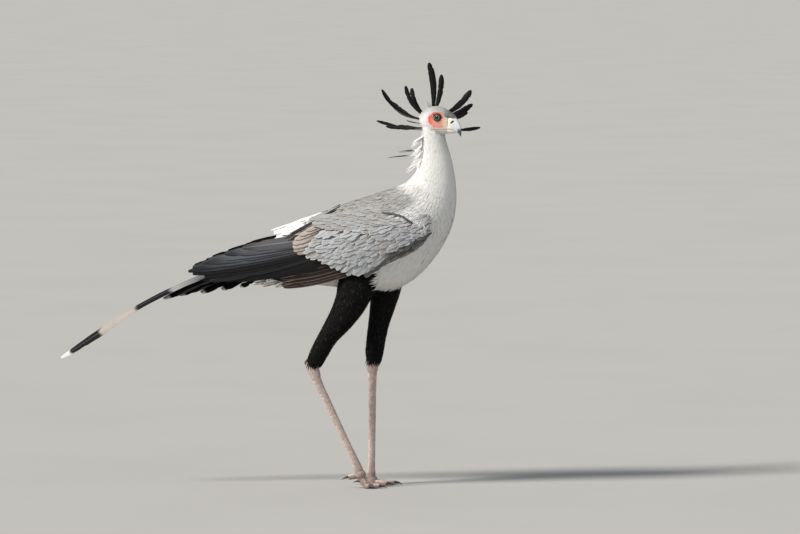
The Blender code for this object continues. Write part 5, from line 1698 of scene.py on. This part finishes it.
def build_lashes(side, draw, heap, count=22):
    """The long lashes that stand over an eye."""
    centre, looks, ahead, up = eye_axes(side)
    up = up * np.sign(up[2])
    spot = np.linspace(np.radians(18), np.radians(158), count) + draw.uniform(-0.04, 0.04, count)
    c, s = np.cos(spot)[:, None], np.sin(spot)[:, None]
    base = ahead * (LID_STRETCH * c * LID_RADIUS * 0.95) + up * (s * LID_RADIUS * 0.95)
    base = centre + base + looks * 0.0100
    out = unit(ahead * c + up * (0.55 * s) + looks * 0.9)
    long = (draw.uniform(0.0055, 0.0085, count) * (0.6 + 0.4 * np.sin(spot)))[:, None, None]
    u = np.linspace(0, 1, 7)
    line = base[:, None] + out[:, None] * long * u[None, :, None]
    bend = u[None, :, None] ** 2
    line = line + up * (long * 0.35 * bend) - ahead * (long * 0.18 * bend)
    for spine in line:
        heap.tube(head_place(bar_points(spine, 0.00022 * (1 - 0.8 * u), 5)))


def claw_line(spots, radii, length, count=14):
    """The middle line and radii of a curved claw that grows square from the end of its toe."""
    ahead = unit(spots[-1] - spots[-2])
    up = np.array((0.0, 0.0, 1.0))
    up = unit(up - ahead * (up @ ahead))
    size = radii[-1] * 0.66
    line, thin = [], [size * 1.06]
    for u in np.linspace(0, 1, count):
        bend = CLAW_BEND * u
        reach = 0.0004 + length * math.sin(bend) / CLAW_BEND
        drop = length * (1 - math.cos(bend)) / CLAW_BEND
        spot = spots[-1] + ahead * reach + up * (0.0018 - drop + 0.0012 * u)
        thin.append(max(size * (1 - u) ** 0.72, 0.0005))
        spot[2] = max(spot[2], thin[-1] + 0.0005)
        line.append(spot)
    return np.array([line[0] - ahead * 0.0022] + line), np.array(thin)


def build_claw(spots, radii, length):
    heap = Heap()
    line, thin = claw_line(spots, radii, length)
    points = bar_points(line, thin, 14)
    share = np.broadcast_to(np.linspace(0, 1, len(line))[:, None], points.shape[:2])
    heap.tube(points, vane=np.stack((0 * share, share, 0 * share + 0.4), -1).reshape(1, -1, 3))
    return heap


def add_plate(heap, outer, inner, tint):
    """A closed plate between two grids of points."""
    rows, columns = outer.shape[:2]
    vane = np.empty((rows, 2, columns, 3))
    vane[..., 0] = np.linspace(-1, 1, columns)
    vane[..., 1] = np.linspace(0, 1, rows)[:, None, None]
    vane[..., 2] = tint
    heap.add(np.stack((outer, inner), 1).reshape(-1, 3), strip_faces(rows, columns), vane.reshape(1, -1, 3))


def plate_height(along, along_rim, columns, rim):
    """How high a plate stands, from 0 at its edges to 1."""
    across = ease(1 - np.abs(np.linspace(-1, 1, columns)), 0, rim)
    return np.minimum(across[None], ease(along, 0, along_rim)[:, None])


def build_scutes(word):
    """Raised plates down the front and back of a shank and along the top of each toe."""
    heap, draw = Heap(), np.random.default_rng(31)
    rows = SHANKS[word]
    levels, numbers = -np.array([row[2] for row in rows]), np.arange(len(rows))
    down = np.linspace(0, 1, 5)
    height = plate_height(0.5 - np.abs(down - 0.5), 0.16, 9, 0.30)
    for facing, spread, step in ((0.0, 1.15, 0.0070), (math.pi, 0.95, 0.0080)):
        for z in np.arange(SCUTE_FOOT[word], 0.300, step):
            at, at_low = np.interp(-z, levels, numbers), np.interp(-(z - step * 0.93), levels, numbers)
            turn = (facing + spread * np.linspace(-1, 1, 9) + draw.uniform(-0.05, 0.05))[None]
            level = (at + (at_low - at) * down)[:, None]
            outer = level_ovals(rows, level, turn, 0.0001 + 0.00055 * height)
            add_plate(heap, outer, level_ovals(rows, level, turn, -0.0006), draw.random())
    height = plate_height(np.array((0, 0.4, 0.4, 0)), 0.3, 7, 0.4)
    for _, spots, radii, _ in toes_of(word):
        run = run_along(spots)
        for start in np.arange(0.008, run[-1] - 0.003, 0.0046):
            along = np.linspace(start, start + 0.0043, 4)
            line = np.stack([np.interp(along, run, spots[:, k]) for k in range(3)], -1)
            size = np.interp(along, run, radii)[:, None]
            ring = ways_round(line, np.linspace(-1.0, 1.0, 7))
            outer = line[:, None] + ring * (size + 0.0001 + 0.00045 * height)[..., None]
            add_plate(heap, outer, line[:, None] + ring * (size - 0.0008)[..., None], draw.random())
    return heap


# What a user would change

def tone(name, description, default):
    return bpy.props.FloatVectorProperty(
        name=name, description=description, default=default, subtype="COLOR", size=3, min=0.0, max=1.0
    )


class BirdPlumage(bpy.types.PropertyGroup):
    """Colours of the plumage."""

    white: tone("White", "Neck, breast and tail coverts", (0.82, 0.81, 0.78))
    white_shade: tone("White shade", "Darker tufts of the white plumage", (0.66, 0.66, 0.67))
    cream: tone("Cream", "Warm wash on the white plumage", (0.80, 0.73, 0.62))
    grey: tone("Mantle grey", "Back between the wings", (0.40, 0.405, 0.41))
    # Also the colour of the painted shade towards the roots of the body's tufts.
    grey_brown: tone("Mantle brown", "Brown-grey tufts of the back", (0.34, 0.315, 0.285))
    grey_pale: tone("Mantle rim", "Pale rims of the back's feathers", (0.52, 0.52, 0.53))
    covert: tone("Covert grey", "Wing coverts", (0.43, 0.435, 0.44))
    covert_blue: tone("Covert blue", "Bluish wing coverts", (0.50, 0.53, 0.56))
    covert_pale: tone("Covert rim", "Pale rims of the wing coverts", (0.70, 0.70, 0.70))
    covert_brown: tone("Covert brown", "Worn, brownish wing coverts", (0.36, 0.32, 0.28))
    # Also the colour of the painted shade towards the coverts' roots.
    covert_shaft: tone("Covert shaft", "Dark shafts of the wing coverts", (0.10, 0.10, 0.11))
    black: tone("Thigh black", "Feathered thighs", (0.0045, 0.0042, 0.0042))
    dusty: tone("Thigh dust", "Dusty brown flecks of the thighs", (0.075, 0.062, 0.050))
    flight: tone("Flight black", "Flight feathers", (0.0075, 0.0070, 0.0075))
    flight_grey: tone("Flight grey", "Greyer parts of the flight feathers", (0.042, 0.043, 0.047))
    flight_brown: tone("Flight brown", "Lowest flight feathers", (0.034, 0.022, 0.016))
    # A painted sheen: reflected light laid into the colour of the upper flight feathers.
    painted_flight_sheen: tone("Flight sheen", "Bluish sheen of the upper flight feathers", (0.110, 0.120, 0.138))
    flight_rim: tone("Flight rim", "Pale brown rims of the lowest flight feathers", (0.20, 0.15, 0.12))
    flight_shaft: tone("Flight shaft", "Pale shafts of the lowest flight feathers", (0.42, 0.36, 0.31))
    tertial: tone("Tertial brown", "Tips of the innermost wing feathers", (0.45, 0.385, 0.34))
    tail_grey: tone("Tail grey", "Inner part of the tail feathers", (0.115, 0.115, 0.120))
    tail_smoke: tone("Tail smoke", "Tail just before its first black band", (0.30, 0.29, 0.28))
    tail_pale: tone("Tail band", "Pale band near the tip of the long feathers", (0.38, 0.34, 0.30))
    tail_white: tone("Tail tip", "White tips of the tail feathers", (0.72, 0.70, 0.66))
    crest: tone("Crest black", "Crest plumes", (0.008, 0.008, 0.008))
    crest_brown: tone("Crest brown", "Fringes of the crest plumes", (0.038, 0.028, 0.022))


class BirdBareParts(bpy.types.PropertyGroup):
    """Colours of face, bill, eyes, legs and claws."""

    face: tone("Face", "Bare skin round the eye", (0.86, 0.37, 0.28))
    face_red: tone("Face red", "Redder skin behind and above the eye", (0.79, 0.18, 0.15))
    face_yellow: tone("Face yellow", "Yellower skin next to the cere", (0.90, 0.64, 0.50))
    face_dark: tone("Face crease", "Creases of the bare skin", (0.20, 0.035, 0.020))
    cere: tone("Cere", "Soft base of the bill", (0.80, 0.72, 0.60))
    bill: tone("Bill", "Horn of the bill", (0.66, 0.68, 0.67))
    bill_blue: tone("Bill blue", "Bluish streaks of the bill", (0.46, 0.54, 0.58))
    bill_tip: tone("Bill tip", "Dark hook of the bill", (0.075, 0.085, 0.095))
    iris: tone("Iris", "Grey-brown iris", (0.150, 0.150, 0.095))
    iris_dark: tone("Iris rim", "Dark rim of the iris", (0.030, 0.030, 0.018))
    lid: tone("Lid", "Black rims of the eyes, and lashes", (0.012, 0.010, 0.010))
    leg: tone("Leg", "Skin of shanks and feet", (0.46, 0.34, 0.30))
    leg_pale: tone("Leg pale", "Paler scales", (0.62, 0.52, 0.47))
    leg_dark: tone("Leg crease", "Creases and soiled skin", (0.17, 0.12, 0.10))
    claw: tone("Claw", "Claws", (0.030, 0.026, 0.024))
    claw_pale: tone("Claw pale", "Worn places on the claws", (0.11, 0.095, 0.085))


def measure(name, description, default):
    return bpy.props.FloatProperty(
        name=name, description=description, default=default, subtype="DISTANCE", unit="LENGTH"
    )


class BirdSizes(bpy.types.PropertyGroup):
    """Sizes and counts of skin and coat."""

    skin_grain: measure("Skin grain", "Size of the skin's faces", 0.0035)
    head_spacing: measure("Head spacing", "Distance between tufts on the head", 0.0016)
    neck_spacing: measure("Neck spacing", "Distance between tufts on the neck", 0.0025)
    body_spacing: measure("Body spacing", "Distance between tufts on breast and belly", 0.0040)
    back_spacing: measure("Back spacing", "Distance between tufts on the back", 0.0046)
    thigh_spacing: measure("Thigh spacing", "Distance between tufts on the thighs", 0.0034)
    covert_rows: bpy.props.IntProperty(name="Covert rows", description="Rows of coverts on a wing", default=13, min=6)
    scapular_rows: bpy.props.IntProperty(name="Scapular rows", description="Rows over the shoulder", default=8, min=2)


def strength(name, description, default):
    return bpy.props.FloatProperty(name=name, description=description, default=default, min=0.0)


class BirdStage(bpy.types.PropertyGroup):
    """Floor, light and camera."""

    floor: tone("Floor", "Pale floor", (0.45, 0.44, 0.42))
    floor_shade: tone("Floor shade", "Faint mottle of the floor", (0.41, 0.40, 0.38))
    key: strength("Key light", "Strength of the main light", 4.3)
    fill: strength("Fill light", "Strength of the light all round", 0.36)
    distance: measure("Camera distance", "From the camera to the bird", 15.0)
    elevation: bpy.props.FloatProperty(
        name="Camera elevation", description="Angle above the horizon", default=math.radians(4), subtype="ANGLE",
        unit="ROTATION"
    )


MADE = {}  # the skin, once its operator has run


def skin_now():
    """The skin that the coat grows on. The skin is made first."""
    if "skin" not in MADE:
        raise RuntimeError("make the skin before its coat")
    return MADE["skin"]


def body_finish(tones):
    """The one finish of the small plumage, made when it is first asked for."""
    return bpy.data.materials.get(BODY_FINISH) or small_plumage(BODY_FINISH, tones)


def add_floor(stage):
    mesh = bpy.data.meshes.new("studio_floor")
    bm = bmesh.new()
    bmesh.ops.create_circle(bm, cap_ends=True, segments=96, radius=160.0)
    bm.to_mesh(mesh)
    bm.free()
    mesh.materials.append(floor_finish(stage))
    floor = bpy.data.objects.new("studio_floor", mesh)
    floor.location.z = -0.0004
    bpy.context.scene.collection.objects.link(floor)


def add_world(stage):
    world = bpy.data.worlds.new("studio")
    bpy.context.scene.world = world
    world.use_nodes = True
    backdrop = world.node_tree.nodes["Background"]
    backdrop.inputs["Color"].default_value = (*SKY_COLOUR, 1)
    backdrop.inputs["Strength"].default_value = stage.fill


def add_turned(name, data, way, axis):
    """An object turned so that the named axis of its own points the given way."""
    obj = bpy.data.objects.new(name, data)
    obj.rotation_mode = "QUATERNION"
    obj.rotation_quaternion = Vector(way).to_track_quat(axis, "Y")
    bpy.context.scene.collection.objects.link(obj)
    return obj


def add_camera(stage):
    camera = bpy.data.cameras.new("camera")
    camera.lens, camera.sensor_width = 250.0, 36.0
    camera.clip_start, camera.clip_end = 0.1, 500.0
    back = Vector((0, -math.cos(stage.elevation), math.sin(stage.elevation)))
    obj = add_turned("camera", camera, -back, "-Z")
    obj.location = Vector(CAMERA_TARGET) + back * stage.distance
    bpy.context.scene.camera = obj


class BIRD_OT_stage(bpy.types.Operator):
    """Make the pale floor, the soft light and the camera"""

    bl_idname = "bird.stage"
    bl_label = "Stage"

    def execute(self, context):
        stage = context.scene.bird_stage
        add_floor(stage)
        add_world(stage)
        for name, colour, strength, angle, way in LIGHTS:
            light = bpy.data.lights.new(name, "SUN")
            light.energy, light.color, light.angle = stage.key * strength, colour, math.radians(angle)
            add_turned(name, light, way, "Z")
        add_camera(stage)
        context.scene.view_settings.view_transform = "Standard"
        return {"FINISHED"}


def note_skin(mesh, skin):
    """Tells the skin's finish where it is bare, how grey or black it is, and what part of the face each point is."""
    points = skin.points
    local = head_local(points)
    face = face_share(local) * head_zone(points)
    leg = ease(points[:, 2], HEEL_LEVEL + 0.012, HEEL_LEVEL + 0.004)
    write_note(mesh, "bare", np.stack((face, leg, ease(points[:, 2], 0.10, 0.02)), -1))
    zone = zones_at(points, skin.lie.notes[skin.lie.at(points)])
    zone[:, 2] = 1.0
    write_note(mesh, "zone", zone)
    forward = np.maximum(1.25 * ease(local[:, 0], 0.028, 0.059), 1.5 * mouth_band(local))
    parts = (forward, ease(local[:, 0], 0.034, 0.004), ease(local[:, 2], -0.012, 0.016))
    write_note(mesh, "vane", np.stack(parts, -1))


class BIRD_OT_skin(bpy.types.Operator):
    """Make the one skin over body, head, wings and legs"""

    bl_idname = "bird.skin"
    bl_label = "Skin"

    def execute(self, context):
        mesh = build_skin_mesh()
        MADE["skin"] = Skin(mesh)
        note_skin(mesh, skin_now())
        if "OFBake" in mesh.uv_layers:
            mesh.uv_layers.remove(mesh.uv_layers["OFBake"])
        mesh.shade_smooth()
        nodes = ["torso", "neck", "head"]
        for word in SIDES:
            nodes += [f"thigh_{word}", f"shank_{word}", f"foot_{word}"]
        finish = skin_finish(context.scene.bird_plumage, context.scene.bird_bare_parts)
        piece("skin", mesh, finish, "leg_skin", nodes)
        return {"FINISHED"}


def coat_faces(skin):
    """The faces of the skin that each piece of the body coat grows on."""
    notes = skin.lie.notes[skin.known]
    part, at = notes[:, 0], notes[:, 1]
    middle = skin.points[skin.faces].mean(1)
    local = head_local(middle)
    x, _, z = local.T
    eye = np.hypot(x - EYE_AT[0], z - EYE_AT[2]) < 0.0135
    mouth = (np.abs(z - mouth_line(x)) < 0.0030) & (x > GAPE_AT)
    bill = (x >= 0.0572) & (z <= 0.0165 - 0.22 * x)
    body, low = part == TRUNK_PART, np.cos(notes[:, 2]) < 0.30
    return {
        "coat_head": (part == HEAD_PART) & ~(face_share(local) > 0.35) & ~eye & ~mouth & ~bill,
        "coat_neck": body & (at < NECK_END),
        "coat_breast": body & (at >= NECK_END) & (at < BREAST_END) & low,
        "coat_belly": body & (at >= BREAST_END) & low,
        "coat_back": body & (at >= NECK_END) & ~low,
        "coat_thighs": (part == THIGH_PART) & (middle[:, 2] > HEEL_LEVEL + 0.004),
        "coat_shoulders": (part == WING_PART) & (at < 0.11),
    }


def tuft_sizes(name, row, forward):
    """Length, width, height and rings of a piece's tufts, by row of the trunk or how far forward on the head."""
    if name == "coat_head":
        small = ease(forward, 0.050, -0.010)
        return 0.0046 + 0.0060 * small, 0.0010 + 0.0005 * small, 0.0010 + 0.0006 * small, 2
    if name == "coat_neck":
        return 0.0120 + 0.0036 * row, 0.0022 + 0.0004 * row, 0.8 * coat_depth(row), 3
    if name in ("coat_breast", "coat_belly"):
        return 0.0270 + 0.0010 * row, 0.0042, 0.85 * coat_depth(row), 3
    if name == "coat_back":
        return 0.0330, 0.0056, coat_depth(row), 4
    return (0.0150, 0.0030, 0.0046, 3) if name == "coat_thighs" else (0.0130, 0.0032, 0.0030, 3)


class BIRD_OT_body_coat(bpy.types.Operator):
    """Lay the small feathers of head, neck, breast, back and thighs"""

    bl_idname = "bird.body_coat"
    bl_label = "Body coat"

    def execute(self, context):
        skin, sizes = skin_now(), context.scene.bird_sizes
        chosen = coat_faces(skin)
        for number, (name, (spacing, slot)) in enumerate(COATS.items()):
            draw = np.random.default_rng(100 + number)
            faces, spots = skin.seeds(chosen[name], getattr(sizes, spacing), draw)
            notes = skin.lie.notes[skin.known[faces]]
            *size, rings = tuft_sizes(name, notes[:, 1], head_local(spots)[:, 0])
            length, width, depth = (value * np.ones(len(spots)) for value in size)
            heap = Heap()
            lay_tufts(heap, skin, faces, spots, length, width, depth, zones_at(spots, notes), draw, rings)
            piece(name, heap, body_finish(context.scene.bird_plumage), slot, outwards=False)
        return {"FINISHED"}


class BIRD_OT_wings(bpy.types.Operator):
    """Lay the coverts, scapulars and flight feathers of both wings"""

    bl_idname = "bird.wings"
    bl_label = "Wings"

    def execute(self, context):
        tones = context.scene.bird_plumage
        covert, flight = covert_finish(tones), flight_finish(tones)
        for word, side in SIDES.items():
            draw = np.random.default_rng(21 + side)
            flights = build_flights(side, draw)
            coverts = build_coverts(side, context.scene.bird_sizes, draw)
            piece(f"coverts_{word}", coverts, covert, "grey_plumage", (f"wing_{word}",))
            piece(f"flight_feathers_{word}", flights, flight, "black_plumage", (f"wing_{word}",))
        return {"FINISHED"}


class BIRD_OT_tail(bpy.types.Operator):
    """Lay the tail feathers and the white coverts over and under their roots"""

    bl_idname = "bird.tail"
    bl_label = "Tail"

    def execute(self, context):
        tones = context.scene.bird_plumage
        piece("tail_feathers", build_tail_feathers(), tail_finish(tones), "tail_plumage", ("tail",))
        piece("tail_coverts", build_tail_coverts(), body_finish(tones), "white_plumage", ("tail", "torso"))
        return {"FINISHED"}


class BIRD_OT_crest(bpy.types.Operator):
    """Set the crest plumes and the loose plumes of the nape"""

    bl_idname = "bird.crest"
    bl_label = "Crest"

    def execute(self, context):
        finish, draw = crest_finish(context.scene.bird_plumage), np.random.default_rng(8)
        piece("crest", build_crest(draw), finish, "black_plumage", ("head",))
        piece("nape_plumes", build_nape_plumes(draw), finish, "white_plumage", ("neck",))
        return {"FINISHED"}


class BIRD_OT_bill(bpy.types.Operator):
    """Make both halves of the bill, with cere, nostrils and hooked tip"""

    bl_idname = "bird.bill"
    bl_label = "Bill"

    def execute(self, context):
        finish = bill_finish(context.scene.bird_bare_parts)
        piece("upper_bill", build_bill(UPPER_BILL, False, 76), finish, "bill", ("bill_upper",))
        piece("lower_bill", build_bill(LOWER_BILL, True, 30), finish, "bill", ("bill_lower",))
        return {"FINISHED"}


class BIRD_OT_eyes(bpy.types.Operator):
    """Make the eyes, their lids and lashes"""

    bl_idname = "bird.eyes"
    bl_label = "Eyes"

    def execute(self, context):
        bare, lids, draw = context.scene.bird_bare_parts, Heap(), np.random.default_rng(3)
        finish = eye_finish(bare)
        for word, side in SIDES.items():
            piece(f"eyeball_{word}", build_eye(side), finish, "eye", (f"eye_{word}",))
            build_lids(side, lids)
            build_lashes(side, draw, lids)
        piece("lids_and_lashes", lids, lid_finish(bare), "black_plumage", ("head",))
        return {"FINISHED"}


class BIRD_OT_feet(bpy.types.Operator):
    """Make the claws, and the scutes of shanks and toes"""

    bl_idname = "bird.feet"
    bl_label = "Claws and scutes"

    def execute(self, context):
        bare = context.scene.bird_bare_parts
        claw = horn_finish("claw horn", bare.claw, bare.claw_pale)
        scute = horn_finish("scutes", bare.leg, bare.leg_pale)
        for word in SIDES:
            for toe, *shape in toes_of(word):
                piece(f"claw_horn_{word}_{toe}", build_claw(*shape), claw, "claw", (f"claw_{word}_{toe}",))
            piece(f"scutes_{word}", build_scutes(word), scute, "leg_skin", (f"shank_{word}",))
        return {"FINISHED"}


OPERATORS = (
    BIRD_OT_stage, BIRD_OT_skin, BIRD_OT_eyes, BIRD_OT_bill, BIRD_OT_feet, BIRD_OT_body_coat, BIRD_OT_wings,
    BIRD_OT_tail, BIRD_OT_crest,
)
GROUPS = {
    "bird_plumage": BirdPlumage, "bird_bare_parts": BirdBareParts, "bird_sizes": BirdSizes, "bird_stage": BirdStage,
}


class BIRD_PT_panel(bpy.types.Panel):
    """Lists the bird's settings and the operators that make its pieces"""

    bl_idname = "BIRD_PT_panel"
    bl_label = "Secretary Bird"
    bl_space_type = "VIEW_3D"
    bl_region_type = "UI"
    bl_category = "Secretary Bird"

    def draw(self, context):
        for operator in OPERATORS:
            self.layout.operator(operator.bl_idname)
        for name, group in GROUPS.items():
            box = self.layout.box()
            box.label(text=group.__doc__)
            for key in group.__annotations__:
                box.prop(getattr(context.scene, name), key)


def register():
    for group in (*GROUPS.values(), *OPERATORS, BIRD_PT_panel):
        bpy.utils.register_class(group)
    for name, group in GROUPS.items():
        setattr(bpy.types.Scene, name, bpy.props.PointerProperty(type=group))


def unregister():
    for name in GROUPS:
        delattr(bpy.types.Scene, name)
    for group in (BIRD_PT_panel, *OPERATORS, *GROUPS.values()):
        bpy.utils.unregister_class(group)


def main():
    register()
    for operator in OPERATORS:
        family, name = operator.bl_idname.split(".")
        getattr(getattr(bpy.ops, family), name)()


if __name__ == "__main__":
    main()
